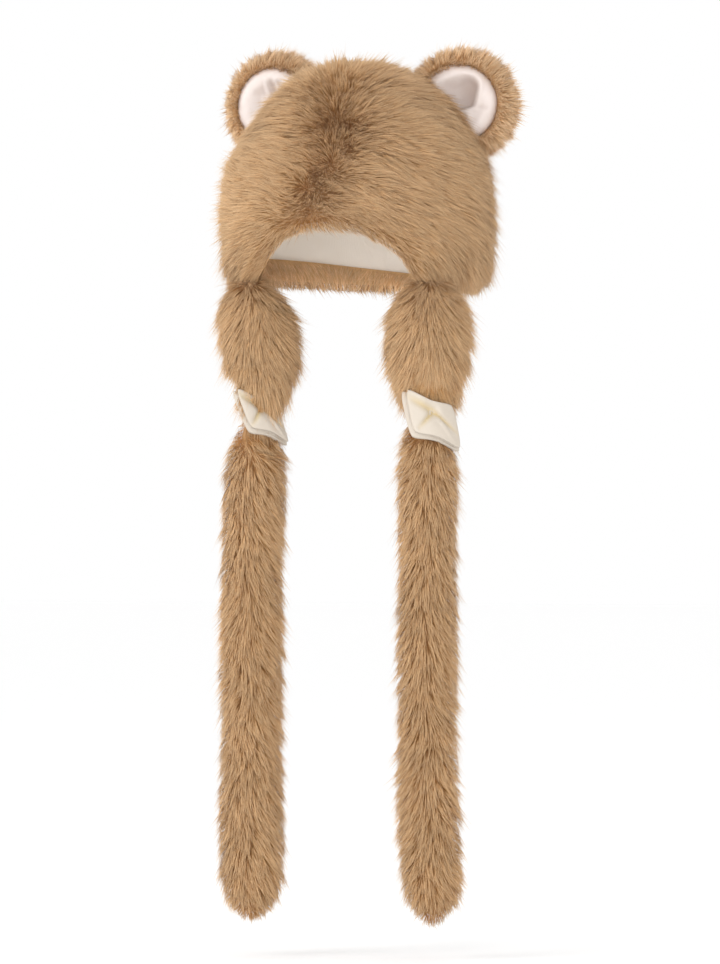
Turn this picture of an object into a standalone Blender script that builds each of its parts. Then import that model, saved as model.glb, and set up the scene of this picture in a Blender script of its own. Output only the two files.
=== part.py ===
# Bear ear hat: fur crown with a lining, two ears, and two fur straps that hang below it.
# Metres, +Z up, the front faces -Y, +X is the wearer's left.
# The origin is the top of the head, on the lining's inner face.
from math import atan2, cos, degrees, exp, hypot, pi, radians, sin, sqrt, tan

import bmesh
import bpy
from mathutils import Euler, Vector

# Head hollow, measured inside the lining
HEAD_HALF_WIDTH = 0.0895
HEAD_HALF_DEPTH = 0.1005
HEAD_HEIGHT = 0.111          # from its widest level up to its top
DOME_POWER = 2.2             # 2 is a round dome, more is squarer
SKIRT_TAPER = 0.16           # how fast the crown draws in below its widest level
SKIRT_EASE = 0.3             # share of the skirt over which that taper starts

# Cloth and fur
LINING_WALL = 0.0015
BACKING = 0.0015             # knitted backing that carries the pile
CROWN_PILE = 0.0225
FACING_PILE = 0.007          # shorter pile of the fur turned in at the hem
FACING_HEIGHT = 0.020
HEM_FOLD = 0.003             # fur folded round below the lining's edge
GAP = 0.0003                 # clearance between pieces that touch

# Hem levels, down from the origin
ARCH_DROP = 0.118            # top of the face opening
CORNER_DROP = 0.164          # the two front corners, which carry the straps
BACK_DROP = 0.167
CORNER_ANGLE = 53.0          # degrees from the front to a corner
CORNER_MARGIN = 2.0          # degrees of level hem beyond each side of a strap's pinch
ARCH_POWER = 1.7             # more holds the face opening wide for longer
BACK_EASE_ANGLE = 90.0       # degrees from a corner to where the hem is level

# Ears
EAR_RADIUS = 0.0485
EAR_PANEL_RADIUS = 0.031
EAR_FRONT = 0.013            # fur in front of the ear's middle plane
EAR_BACK = 0.015
EAR_PILE = 0.0065            # depth of the notches between the rim's locks
EAR_X = 0.0815
EAR_Y = 0.031
EAR_Z = -0.0115
EAR_PANEL_SHIFT = 0.0025     # panel's middle, inward from the ear's middle
EAR_TURN = 8.0               # degrees outward from straight ahead
EAR_DISH = 0.0075            # how far the middle of the panel lies behind its edge
EAR_SINK = 0.35              # panel's edge behind the ear's middle, as a share of EAR_FRONT
EAR_FOLD = 0.0035            # height of the crease across the panel
FOLD_RISE, FOLD_SLOPE, FOLD_WIDTH = 0.15, 0.2, 0.3  # its place, as shares of the panel's radius
SATIN_WALL = 0.0012
EAR_SLOT_CLEARANCE = 0.0006
SLOT_FACE = 0.84             # front and back of the slot, as a share of its radius

# Puffs and straps
PINCH_RADIUS = 0.0145        # where a puff leaves the crown
PUFF_RADIUS = 0.0355
PUFF_LENGTH = 0.106
PUFF_LEAN = 0.0045           # how far a puff's middle lies inward of its ends
NECK_RADIUS = 0.0170         # the gathered place between puff and strap
STRAP_RADIUS = 0.0265
STRAP_LENGTH = 0.4165
STRAP_PILE = 0.0085
TAIL_FLAT = 0.40             # flat middle of a strap's rounded end, as a share of its radius
PUFF_PILE = 0.0100

# Bows
BOW_HALF_LENGTH = 0.0225
BOW_END_WIDTH = 0.036
BOW_WAIST_WIDTH = 0.029
BOW_DEPTH = 0.0075           # from front layer to back layer at the fullest place
BOW_WAIST_DEPTH = 0.0030
BOW_PLEAT = 0.0030
BOW_SWEEP = 10.0             # degrees that the two lobes lean back
BOW_FLAT = 0.25              # share of each lobe that lies flat before it leans back
BOW_SEAT = 0.0150            # from a strap's axis to the bow's back
BOW_DROP = 0.006             # bow centre below the neck
BOW_CLEARANCE = 0.0008
BOW_SEAT_FLARE = 0.8         # how fast the hollow round a bow widens outward

# Columns and rows of locks
CROWN_COLUMNS = 40
CROWN_ROWS = 9
LINING_RINGS = 7
EAR_COLUMNS = 22
PUFF_COLUMNS = 18
PUFF_ROWS = 5
STRAP_COLUMNS = 16
STRAP_ROWS = 13
BOW_STATIONS = 22

# Rings of an ear's panel, as shares of its radius
PANEL_RINGS = (0.25, 0.50, 0.75, 1.00)

# Ear section: (share of the way from the panel's edge to the rim, share of EAR_FRONT
# or EAR_BACK); the two rows of locks at the rim have a depth only
EAR_LIP = (0.06, 0.60)
EAR_CREST = (0.42, 1.00)
RIM_LOCK_DEPTH = 0.45
EAR_GROOVE = (0.58, 0.05)

# Back of an ear: (share of EAR_RADIUS, share of EAR_BACK)
BACK_EDGE = (0.76, 0.88)
BACK_GROOVE = (0.50, 0.70)
BACK_TUFT = (0.60, 1.00)
BACK_INNER = (0.28, 1.00)
BACK_MIDDLE_DEPTH = 0.95

# Fur turned in at the hem: (share of FACING_HEIGHT above the hem, share of FACING_PILE)
FACING_TIP = (1.00, 0.40)
FACING_VALLEY = (0.88, 0.40)
FACING_BELLY = (0.45, 1.00)
FACING_FOLD = (0.075, 0.60)
FACING_ROOT = 0.80            # where it leaves the lining, as a share of FACING_HEIGHT

# One row of locks: place down the row and height, both as shares, of each ring in it
ROOT_HEIGHT = 0.50
BELLY_PLACE, BELLY_HEIGHT = 0.45, 0.95
TIP_PLACE, TIP_HEIGHT = 1.00, 1.00
VALLEY_PLACE, VALLEY_HEIGHT = 0.68, 0.62
LAST_TIP_RISE = 0.10          # the last row of a strap or puff ends this much above its flat end

# Puff outline: (share of the length from the top, share of PUFF_RADIUS)
PUFF_OUTLINE = ((0.00, 0.60), (0.10, 0.83), (0.28, 0.97), (0.45, 1.00),
                (0.66, 0.94), (0.84, 0.74), (1.00, 0.56))

# Strap outline: (share of the length from the top, share of STRAP_RADIUS)
STRAP_OUTLINE = ((0.00, 0.76), (0.05, 0.94), (0.12, 1.03), (0.30, 0.97), (0.45, 1.01),
                 (0.62, 0.96), (0.80, 1.03), (0.94, 1.00), (0.98, 0.84), (1.00, 0.56))

# Places across the width of a bow's ribbon
BOW_ACROSS = (-0.5, -0.2, 0.0, 0.2, 0.5)

# Turn toward +X, nod down and roll clockwise of each bow, in degrees
BOW_POSE = {"left": (30.0, 4.0, 17.0), "right": (14.0, 8.0, 25.0)}

SIDES = {"left": 1.0, "right": -1.0}
WHORL = Vector((0.0, -0.20))  # where the pile starts, as shares of the way from the top

LINING_OUTER = LINING_WALL
BACKING_INNER = LINING_OUTER + GAP
BACKING_OUTER = BACKING_INNER + BACKING
FACING_LEG = -(GAP + BACKING)
SKIRT_UNIT = 1.5 * HEAD_HEIGHT  # length of dome for one share


def clear_scene():
    for item in list(bpy.data.objects):
        bpy.data.objects.remove(item, do_unlink=True)


def make_material(name, colour, roughness, sheen=0.0):
    material = bpy.data.materials.new(name)
    material.use_nodes = True
    shader = material.node_tree.nodes["Principled BSDF"]
    shader.inputs["Base Color"].default_value = (*colour, 1.0)
    shader.inputs["Roughness"].default_value = roughness
    shader.inputs["Metallic"].default_value = 0.0
    shader.inputs["Sheen Weight"].default_value = sheen
    material.diffuse_color = (*colour, 1.0)
    return material


# Mesh helpers

def finish_object(name, bm, material):
    bmesh.ops.recalc_face_normals(bm, faces=bm.faces)
    mesh = bpy.data.meshes.new(name)
    bm.to_mesh(mesh)
    bm.free()
    mesh.shade_smooth()
    mesh.set_sharp_from_angle(angle=radians(50))
    mesh.materials.append(material)
    item = bpy.data.objects.new(name, mesh)
    bpy.context.scene.collection.objects.link(item)
    return item


def bridge(bm, upper, lower):
    # two rings of as many vertices, joined by triangles that all lean the same way
    count = len(upper)
    for j in range(count):
        k = (j + 1) % count
        bm.faces.new((upper[j], lower[j], lower[k]))
        bm.faces.new((upper[j], lower[k], upper[k]))


def loft(name, rings, material, start=None, end=None):
    # closed body through rings of points; start and end are the points that close it
    bm = bmesh.new()
    loops = [[bm.verts.new(point) for point in ring] for ring in rings]
    for upper, lower in zip(loops, loops[1:]):
        bridge(bm, upper, lower)
    if start is None:
        bridge(bm, loops[-1], loops[0])
    else:
        for pole, loop in ((start, loops[0]), (end, loops[-1])):
            centre = bm.verts.new(pole)
            for j, vertex in enumerate(loop):
                bm.faces.new((centre, vertex, loop[(j + 1) % len(loop)]))
    return finish_object(name, bm, material)


def read_table(table, share):
    # value between the rows of a table of (share, value), eased at the rows
    for (s0, v0), (s1, v1) in zip(table, table[1:]):
        if share <= s1:
            t = max(0.0, (share - s0) / (s1 - s0))
            return v0 + (v1 - v0) * t * t * (3 - 2 * t)
    return table[-1][1]


def ease(t):
    t = min(1.0, max(0.0, t))
    return t * t * (3 - 2 * t)


def cut(target, cutter):
    modifier = target.modifiers.new("cut_" + cutter.name, "BOOLEAN")
    modifier.operation = "DIFFERENCE"
    modifier.solver = "EXACT"
    modifier.object = cutter


def make_guide(item):
    item.hide_render = True
    item.display_type = "WIRE"
    return item


# The dome: a place on it is a flat vector whose length is the share of the way from
# the top to the widest level, and more than 1 below that level

def dome_point(place, offset):
    share = place.length
    angle = atan2(place.y, place.x)
    swell = 2 / DOME_POWER
    if share < 1:
        flat = sin(share * pi / 2) ** swell
        rise = (HEAD_HEIGHT + offset) * cos(share * pi / 2) ** swell
    else:
        below = share - 1
        flat = 1 - SKIRT_TAPER * below * below / (below + SKIRT_EASE)
        rise = -SKIRT_UNIT * below
    return Vector(((HEAD_HALF_WIDTH + offset) * flat * cos(angle),
                   (HEAD_HALF_DEPTH + offset) * flat * sin(angle),
                   rise - HEAD_HEIGHT))


def corner_flat_angle():
    # half the stretch of hem, in degrees, that a strap's pinch needs to be level
    return degrees(PINCH_RADIUS / HEAD_HALF_DEPTH) + CORNER_MARGIN


def hem_drop(from_front):
    # how far the hem lies below the origin, for an angle of 0 to 180 from the front
    flat = corner_flat_angle()
    if from_front < CORNER_ANGLE - flat:
        turn = (from_front / (CORNER_ANGLE - flat)) ** ARCH_POWER
        return ARCH_DROP + (CORNER_DROP - ARCH_DROP) * (1 - cos(pi * turn)) / 2
    past = (from_front - CORNER_ANGLE - flat) / BACK_EASE_ANGLE
    return CORNER_DROP + (BACK_DROP - CORNER_DROP) * ease(past)


def hem_place(column):
    angle = 2 * pi * column / CROWN_COLUMNS - pi / 2
    from_front = abs(degrees(angle + pi / 2))
    from_front = min(from_front, 360 - from_front)
    share = 1 + (hem_drop(from_front) - HEAD_HEIGHT) / SKIRT_UNIT
    return Vector((share * cos(angle), share * sin(angle)))


HEM = [hem_place(column) for column in range(CROWN_COLUMNS)]


def above_hem(column, height):
    # share of the way from the whorl to the hem, at a height above the hem
    return 1 - height / (SKIRT_UNIT * (HEM[column] - WHORL).length)


def crown_ring(share_of, offset_of):
    # one ring of the crown; both arguments are functions of the column
    points = []
    for column in range(CROWN_COLUMNS):
        place = WHORL + (HEM[column] - WHORL) * share_of(column)
        points.append(dome_point(place, offset_of(column)))
    return points


def even_ring(height, offset):
    return crown_ring(lambda column: above_hem(column, height), lambda column: offset)


def bowl_rings(offset):
    # rings from the whorl down to the facing's root, shared by lining and backing
    rings = []
    for step in range(1, LINING_RINGS + 1):
        share = step / LINING_RINGS
        rings.append(crown_ring(
            lambda column: share * above_hem(column, FACING_ROOT * FACING_HEIGHT),
            lambda column: offset))
    return rings


def is_tip(row, column):
    return (row + column) % 2 == 0


def make_lining(material):
    outer = bowl_rings(LINING_OUTER) + [even_ring(HEM_FOLD + GAP, LINING_OUTER)]
    inner = [even_ring(HEM_FOLD + GAP, 0.0)] + bowl_rings(0.0)[::-1]
    return loft("lining", outer + inner, material,
                start=dome_point(WHORL, LINING_OUTER), end=dome_point(WHORL, 0.0))


def facing_ring(section_of):
    return crown_ring(
        lambda column: above_hem(column, section_of(column)[0] * FACING_HEIGHT),
        lambda column: FACING_LEG - section_of(column)[1] * FACING_PILE)


def facing_rings():
    # the slot that holds the lining's edge, then the fur turned in at the hem
    return [even_ring(HEM_FOLD, BACKING_INNER),
            even_ring(HEM_FOLD, -GAP),
            even_ring(FACING_ROOT * FACING_HEIGHT, -GAP),
            facing_ring(lambda column: FACING_TIP if column % 2 else FACING_VALLEY),
            facing_ring(lambda column: FACING_BELLY),
            facing_ring(lambda column: FACING_FOLD),
            even_ring(0.0, LINING_WALL / 2),
            even_ring(0.0, BACKING_OUTER + ROOT_HEIGHT * CROWN_PILE)]


def crown_lock_rings():
    # rows of overlapping locks, from the whorl down to the hem
    rings = []
    step = 1 / CROWN_ROWS
    for row in range(CROWN_ROWS):
        top = row * step
        if row:
            rings.append(crown_ring(lambda column: top,
                                    lambda column: BACKING_OUTER + ROOT_HEIGHT * CROWN_PILE))
        rings.append(crown_ring(lambda column: top + BELLY_PLACE * step,
                                lambda column: BACKING_OUTER + BELLY_HEIGHT * CROWN_PILE))
        rings.append(crown_ring(
            lambda column: top + step * (TIP_PLACE if is_tip(row, column) else VALLEY_PLACE),
            lambda column: BACKING_OUTER + CROWN_PILE * (
                TIP_HEIGHT if is_tip(row, column) else VALLEY_HEIGHT)))
    return rings


def make_crown(material):
    inner = bowl_rings(BACKING_INNER)
    rings = inner + facing_rings() + crown_lock_rings()[::-1]
    return loft("crown_fur", rings, material, start=dome_point(WHORL, BACKING_INNER),
                end=dome_point(WHORL, BACKING_OUTER + BELLY_HEIGHT * CROWN_PILE))


def make_backing_guide(name, offset):
    # plain closed dome out to an offset, to fit what sits on the crown's backing
    rings = bowl_rings(offset)
    return make_guide(loft(name, rings, None, start=dome_point(WHORL, offset),
                           end=Vector((0, 0, rings[-1][0].z))))


# Ears, each built round its own middle with its front toward -Y

def ear_dish(x, z):
    # height of the ear's dished front, with a crease across its upper part
    radius = hypot(x, z) / EAR_PANEL_RADIUS
    dish = EAR_DISH * (1 - radius * radius) - EAR_SINK * EAR_FRONT
    across = (z - FOLD_RISE * EAR_PANEL_RADIUS + FOLD_SLOPE * x) / (FOLD_WIDTH * EAR_PANEL_RADIUS)
    fade = sqrt(max(0.0, 1 - radius))
    return dish + EAR_FOLD * exp(-across * across) * fade


def disc_ring(radius_of, depth_of, shift=0.0):
    points = []
    for column in range(EAR_COLUMNS):
        angle = 2 * pi * column / EAR_COLUMNS
        x = radius_of(column) * cos(angle)
        z = radius_of(column) * sin(angle)
        points.append(Vector((x + shift, depth_of(x, z), z)))
    return points


def plain_disc(radius, depth, shift=0.0):
    return disc_ring(lambda column: radius, lambda x, z: depth, shift)


def dished_disc(radius, depth, shift):
    return disc_ring(lambda column: radius, lambda x, z: depth + ear_dish(x, z), shift)


def rim_locks(row, radius, depth):
    return disc_ring(lambda column: radius - (0.0 if is_tip(row, column) else EAR_PILE),
                     lambda x, z: depth)


def panel_shift(side):
    return -SIDES[side] * EAR_PANEL_SHIFT


def place_ear(item, sign):
    item.location = (sign * EAR_X, EAR_Y, EAR_Z)
    item.rotation_euler = (0, 0, sign * radians(EAR_TURN))
    return item


def rim_disc(section, depth, shift=0.0):
    # ring between the panel's edge and the rim; depth is that of the ear's front or back
    edge = EAR_PANEL_RADIUS + GAP
    return plain_disc(edge + section[0] * (EAR_RADIUS - edge), section[1] * depth, shift)


def make_ear(side, material):
    shift = panel_shift(side)
    rings = [dished_disc(share * EAR_PANEL_RADIUS, 0.0, shift) for share in PANEL_RINGS]
    rings += [dished_disc(EAR_PANEL_RADIUS + GAP, 0.0, shift),
              rim_disc(EAR_LIP, -EAR_FRONT, shift),
              rim_disc(EAR_CREST, -EAR_FRONT, shift / 2),
              rim_locks(0, EAR_RADIUS, -RIM_LOCK_DEPTH * EAR_FRONT),
              rim_disc(EAR_GROOVE, EAR_BACK),
              rim_locks(1, EAR_RADIUS, RIM_LOCK_DEPTH * EAR_BACK),
              plain_disc(BACK_EDGE[0] * EAR_RADIUS, BACK_EDGE[1] * EAR_BACK),
              plain_disc(BACK_GROOVE[0] * EAR_RADIUS, BACK_GROOVE[1] * EAR_BACK),
              rim_locks(0, BACK_TUFT[0] * EAR_RADIUS, BACK_TUFT[1] * EAR_BACK),
              plain_disc(BACK_INNER[0] * EAR_RADIUS, BACK_INNER[1] * EAR_BACK)]
    return place_ear(loft("ear_fur_" + side, rings, material,
                          start=Vector((shift, ear_dish(0, 0), 0)),
                          end=Vector((0, BACK_MIDDLE_DEPTH * EAR_BACK, 0))), SIDES[side])


def make_ear_slot(side):
    reach = EAR_RADIUS + EAR_SLOT_CLEARANCE
    front = -EAR_FRONT - EAR_SLOT_CLEARANCE
    back = EAR_BACK + EAR_SLOT_CLEARANCE
    rings = [plain_disc(SLOT_FACE * reach, front), plain_disc(reach, front / 2),
             plain_disc(reach, back / 2), plain_disc(SLOT_FACE * reach, back)]
    slot = loft("ear_slot_" + side, rings, None,
                start=Vector((0, front, 0)), end=Vector((0, back, 0)))
    return make_guide(place_ear(slot, SIDES[side]))


def make_ear_satin(side, material):
    # back first, so that its triangles lie as the ear's own do
    shift = panel_shift(side)
    back = [dished_disc(share * EAR_PANEL_RADIUS, -GAP, shift) for share in PANEL_RINGS]
    front = [dished_disc(share * EAR_PANEL_RADIUS, -GAP - SATIN_WALL, shift)
             for share in PANEL_RINGS[::-1]]
    return place_ear(loft("ear_satin_" + side, back + front, material,
                          start=Vector((shift, ear_dish(0, 0) - GAP, 0)),
                          end=Vector((shift, ear_dish(0, 0) - GAP - SATIN_WALL, 0))),
                     SIDES[side])


# Puffs and straps, which hang from the level stretch of hem at each front corner

def strap_axis(side):
    angle = radians(CORNER_ANGLE - 90)
    share = 1 + (CORNER_DROP - HEAD_HEIGHT) / SKIRT_UNIT
    middle = (FACING_LEG - FACING_PILE + BACKING_OUTER + CROWN_PILE) / 2
    point = dome_point(Vector((share * cos(angle), share * sin(angle))), middle)
    return Vector((SIDES[side] * point.x, point.y, 0))


def make_lock_tube(name, side, top, length, outline, radius, pile, ends, lean,
                   columns, rows, material):
    # hanging tube of locks between two flat ends; ends holds the radius of each, and
    # lean is how far the middle of its length lies toward the wearer's face
    axis = strap_axis(side)
    step = 1 / rows

    def lock_ring(place_of, lift_of):
        points = []
        for column in range(columns):
            angle = 2 * pi * column / columns
            place = min(place_of(column), 1 - LAST_TIP_RISE * step)
            reach = radius * read_table(outline, place) - pile * (1 - lift_of(column))
            aside = -SIDES[side] * lean * sin(pi * place)
            points.append(Vector((axis.x + aside + reach * cos(angle),
                                  axis.y + reach * sin(angle), top - length * place)))
        return points

    def end_ring(reach, height):
        return [Vector((axis.x + reach * cos(2 * pi * column / columns),
                        axis.y + reach * sin(2 * pi * column / columns), height))
                for column in range(columns)]

    rings = [end_ring(ends[0], top)]
    for row in range(rows):
        start = row * step
        if row:
            rings.append(lock_ring(lambda column: start, lambda column: ROOT_HEIGHT))
        rings.append(lock_ring(lambda column: start + BELLY_PLACE * step,
                               lambda column: BELLY_HEIGHT))
        rings.append(lock_ring(
            lambda column: start + step * (TIP_PLACE if is_tip(row, column) else VALLEY_PLACE),
            lambda column: TIP_HEIGHT if is_tip(row, column) else VALLEY_HEIGHT))
    rings.append(end_ring(ends[1], top - length))
    return loft(name, rings, material, start=Vector((axis.x, axis.y, top)),
                end=Vector((axis.x, axis.y, top - length)))


def make_puff(side, material):
    return make_lock_tube("puff_" + side, side, -CORNER_DROP - GAP, PUFF_LENGTH,
                          PUFF_OUTLINE, PUFF_RADIUS, PUFF_PILE, (PINCH_RADIUS, NECK_RADIUS),
                          PUFF_LEAN, PUFF_COLUMNS, PUFF_ROWS, material)


def strap_top():
    return -CORNER_DROP - PUFF_LENGTH - 2 * GAP


def make_strap(side, material):
    return make_lock_tube("strap_" + side, side, strap_top(), STRAP_LENGTH,
                          STRAP_OUTLINE, STRAP_RADIUS, STRAP_PILE,
                          (NECK_RADIUS, TAIL_FLAT * STRAP_RADIUS), 0.0,
                          STRAP_COLUMNS, STRAP_ROWS, material)


# Bows, each built with its back at Y = 0 and its front toward -Y

def bow_sweep(x):
    # how far back a place on the bow leans
    flat = BOW_FLAT * BOW_HALF_LENGTH
    return tan(radians(BOW_SWEEP)) * max(0.0, abs(x) - flat)


def bow_ring(station):
    # one section across the ribbon loop: front edge to edge, then back again inside
    angle = 2 * pi * station / BOW_STATIONS
    along = cos(angle)
    fullness = sqrt(abs(along))
    depth = BOW_WAIST_DEPTH + (BOW_DEPTH - BOW_WAIST_DEPTH) * fullness
    x = BOW_HALF_LENGTH * along
    middle = (depth - SATIN_WALL) / 2
    half = SATIN_WALL / 2
    y = bow_sweep(x) - GAP - half - middle * (1 + sin(angle))
    width = BOW_WAIST_WIDTH + (BOW_END_WIDTH - BOW_WAIST_WIDTH) * abs(along)
    normal = Vector((middle * cos(angle), -BOW_HALF_LENGTH * sin(angle))).normalized()
    outer, inner = [], []
    for across in BOW_ACROSS:
        pleat = BOW_PLEAT * max(0.0, sin(angle)) * (1 - abs(along)) * (1 - abs(across) * 2)
        z = across * width
        outer.append(Vector((x + half * normal.x, y + half * normal.y + pleat, z)))
        inner.append(Vector((x - half * normal.x, y - half * normal.y + pleat, z)))
    return outer + inner[::-1]


def place_bow(item, side):
    turn, nod, roll = (radians(value) for value in BOW_POSE[side])
    item.rotation_mode = "YXZ"
    item.rotation_euler = Euler((-nod, roll, turn), "YXZ")
    outward = Vector((sin(turn) * cos(nod), -cos(turn) * cos(nod), -sin(nod)))
    centre = strap_axis(side) + Vector((0, 0, strap_top() - BOW_DROP))
    item.location = centre + BOW_SEAT * outward
    return item


def make_bow(side, material):
    rings = [bow_ring(station) for station in range(BOW_STATIONS)]
    return place_bow(loft("bow_" + side, rings, material), side)


def make_bow_seat(side):
    # hollow pressed into the fur round the bow, which widens toward the front
    end = BOW_HALF_LENGTH + SATIN_WALL + BOW_CLEARANCE
    flat = BOW_FLAT * BOW_HALF_LENGTH
    deepest = bow_sweep(end)
    front = -2 * PUFF_RADIUS
    reach = end + BOW_SEAT_FLARE * (deepest - front)
    plan = [(-end, deepest), (-flat, 0.0), (flat, 0.0), (end, deepest),
            (reach, front), (-reach, front)]
    half = BOW_END_WIDTH / 2 + BOW_CLEARANCE
    rings = []
    for sign in (1, -1):
        rings.append([Vector((x, y, sign * (half + BOW_SEAT_FLARE * (deepest - y))))
                      for x, y in plan])
    middle = half + BOW_SEAT_FLARE * (deepest + BOW_DEPTH)
    seat = loft("bow_seat_" + side, rings, None, start=Vector((0, -BOW_DEPTH, middle)),
                end=Vector((0, -BOW_DEPTH, -middle)))
    return make_guide(place_bow(seat, side))


def build():
    clear_scene()
    fur = make_material("tan_fur", (0.47, 0.29, 0.16), 0.85, sheen=0.4)
    cream = make_material("cream_lining", (0.70, 0.62, 0.52), 0.75)
    satin = make_material("pale_satin", (0.83, 0.74, 0.70), 0.35, sheen=0.2)
    ivory = make_material("ivory_satin", (0.88, 0.82, 0.68), 0.30, sheen=0.2)

    make_lining(cream)
    crown = make_crown(fur)
    backing = make_backing_guide("backing_guide", BACKING_OUTER)
    backing_clear = make_backing_guide("backing_clear_guide", BACKING_OUTER + GAP)
    for side in SIDES:
        slot = make_ear_slot(side)
        cut(slot, backing)
        cut(crown, slot)
        cut(make_ear(side, fur), backing_clear)
        cut(make_ear_satin(side, satin), backing_clear)
        seat = make_bow_seat(side)
        cut(make_puff(side, fur), seat)
        cut(make_strap(side, fur), seat)
        make_bow(side, ivory)


build()
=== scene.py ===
# Looks of the bear ear hat: brushed tan pile, a cream lining, satin ears and satin bows.
# Metres, +Z up, the front faces -Y and +X is the wearer's left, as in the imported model.
import math
from functools import partial

import bmesh
import bpy
import numpy as np
from mathutils import Euler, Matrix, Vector


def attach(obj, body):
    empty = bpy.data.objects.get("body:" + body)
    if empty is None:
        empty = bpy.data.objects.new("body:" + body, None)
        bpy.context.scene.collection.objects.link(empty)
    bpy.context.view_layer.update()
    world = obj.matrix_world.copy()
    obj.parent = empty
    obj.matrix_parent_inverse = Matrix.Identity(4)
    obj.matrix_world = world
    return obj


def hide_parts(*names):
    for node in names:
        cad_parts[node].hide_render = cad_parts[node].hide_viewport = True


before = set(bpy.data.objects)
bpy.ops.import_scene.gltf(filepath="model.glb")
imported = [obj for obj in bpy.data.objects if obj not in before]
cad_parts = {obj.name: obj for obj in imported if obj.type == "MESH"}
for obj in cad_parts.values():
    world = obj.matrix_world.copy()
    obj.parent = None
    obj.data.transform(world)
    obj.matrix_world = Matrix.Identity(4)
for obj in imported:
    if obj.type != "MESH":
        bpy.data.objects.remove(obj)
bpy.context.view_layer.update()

sides = {"left": 1.0, "right": -1.0}
down = np.array([0, 0, -1.0])


# Small helpers

def smooth(value, low=0.0, high=1.0):
    t = np.clip((value - low) / (high - low), 0.0, 1.0)
    return t * t * (3 - 2 * t)


def unit(vectors):
    return vectors / np.maximum(np.linalg.norm(vectors, axis=-1, keepdims=True), 1e-9)


def dot(a, b):
    return np.sum(a * b, axis=-1, keepdims=True)


def anglesRound(columns):
    return np.linspace(0, 2 * math.pi, columns, endpoint=False)


def laid(comb, normals, sway):
    # the comb laid into the surface, then swayed round its normal
    comb = unit(comb - normals * dot(comb, normals))
    return unit(comb + sway[:, None] * np.cross(normals, comb))


def tableValue(table, place):
    keys, values = zip(*table)
    return np.interp(place, keys, values)


def ripple(points, scale, seed):
    # smooth bumps of about -1 to 1, from a few sine waves in fixed directions
    random = np.random.default_rng(seed)
    total = np.zeros(points.shape[:-1])
    for _ in range(6):
        wave = random.normal(size=3)
        wave *= 2 * math.pi / (scale * np.linalg.norm(wave) * random.uniform(0.7, 1.4))
        total += np.sin(points @ wave + random.uniform(0, 2 * math.pi))
    return total / 3


def gridFaces(rows, columns, closed):
    # quads that face outwards when rows go down and columns go round anticlockwise
    last = columns if closed else columns - 1
    row, column = np.meshgrid(np.arange(rows - 1), np.arange(last), indexing="ij")
    after = (column + 1) % columns
    quads = np.stack([row * columns + column, (row + 1) * columns + column,
                      (row + 1) * columns + after, row * columns + after], axis=-1)
    return quads.reshape(-1, 4)


def linked(name, data):
    item = bpy.data.objects.new(name, data)
    bpy.context.scene.collection.objects.link(item)
    return item


def meshObject(name, points, faces, soft=True):
    mesh = bpy.data.meshes.new(name)
    mesh.from_pydata([tuple(p) for p in points], [], [tuple(int(i) for i in f) for f in faces])
    mesh.polygons.foreach_set("use_smooth", [soft] * len(mesh.polygons))
    mesh.update()
    return linked(name, mesh)


def gridObject(name, grid, closed=True, startPole=None, endPole=None):
    # surface through a grid of points, with a fan of triangles to each pole
    rows, columns = grid.shape[:2]
    points = list(grid.reshape(-1, 3))
    faces = [tuple(f) for f in gridFaces(rows, columns, closed)]
    for pole, first, turn in ((startPole, 0, 1), (endPole, (rows - 1) * columns, -1)):
        if pole is None:
            continue
        points.append(pole)
        for column in range(columns):
            pair = (first + column, first + (column + 1) % columns)
            faces.append((len(points) - 1, *pair[::turn]))
    return meshObject(name, points, faces)


def storeAttribute(mesh, name, kind, values):
    attribute = mesh.attributes.new(name, kind, "POINT")
    field = "vector" if kind == "FLOAT_VECTOR" else "value"
    attribute.data.foreach_set(field, np.asarray(values, dtype=np.float32).ravel())


def dress(piece, slot, material, *nodes):
    # what every finished piece needs: its body, the solids it stands for and its finish
    piece.data.materials.clear()
    piece.data.materials.append(material)
    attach(piece, "root")
    if nodes:
        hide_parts(*nodes)


# Camera, light and floor

view = {
    "azimuth": 14.0,          # degrees round from straight ahead, toward +X
    "distance": 5.0,
    "height": -0.328,         # the camera looks level at this height
    "lens": 223.6,
    "aside": 0.0017,          # the hat stands this far left of the middle
}

lighting = {
    "sky": 1.0,
    "keyPower": 17.0, "keySize": 1.4, "keyPlace": (-1.7, -1.6, 1.10),
    "fillPower": 20.0, "fillSize": 1.0, "fillPlace": (0.20, -2.5, -0.14),
    "aim": (0, 0, -0.3),
    "floorHeight": -0.72, "floorReach": 14.0, "floorWhite": 0.995,
}


def makeCamera():
    azimuth = math.radians(view["azimuth"])
    back = Vector((math.sin(azimuth), -math.cos(azimuth), 0))
    right = Vector((math.cos(azimuth), math.sin(azimuth), 0))
    camera = linked("photoCamera", bpy.data.cameras.new("photoCamera"))
    camera.data.sensor_width = 36
    camera.data.lens = view["lens"]
    camera.data.clip_end = 30
    camera.location = Vector((0, 0, view["height"])) + back * view["distance"] \
        + right * view["aside"]
    camera.rotation_mode = "QUATERNION"
    camera.rotation_quaternion = (-back).to_track_quat("-Z", "Y")
    bpy.context.scene.camera = camera


def makeLight(name, power, size, place):
    light = linked(name, bpy.data.lights.new(name, "AREA"))
    light.data.energy = power
    light.data.size = size
    light.location = place
    aim = Vector(lighting["aim"]) - Vector(place)
    light.rotation_euler = aim.to_track_quat("-Z", "Y").to_euler()


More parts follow.
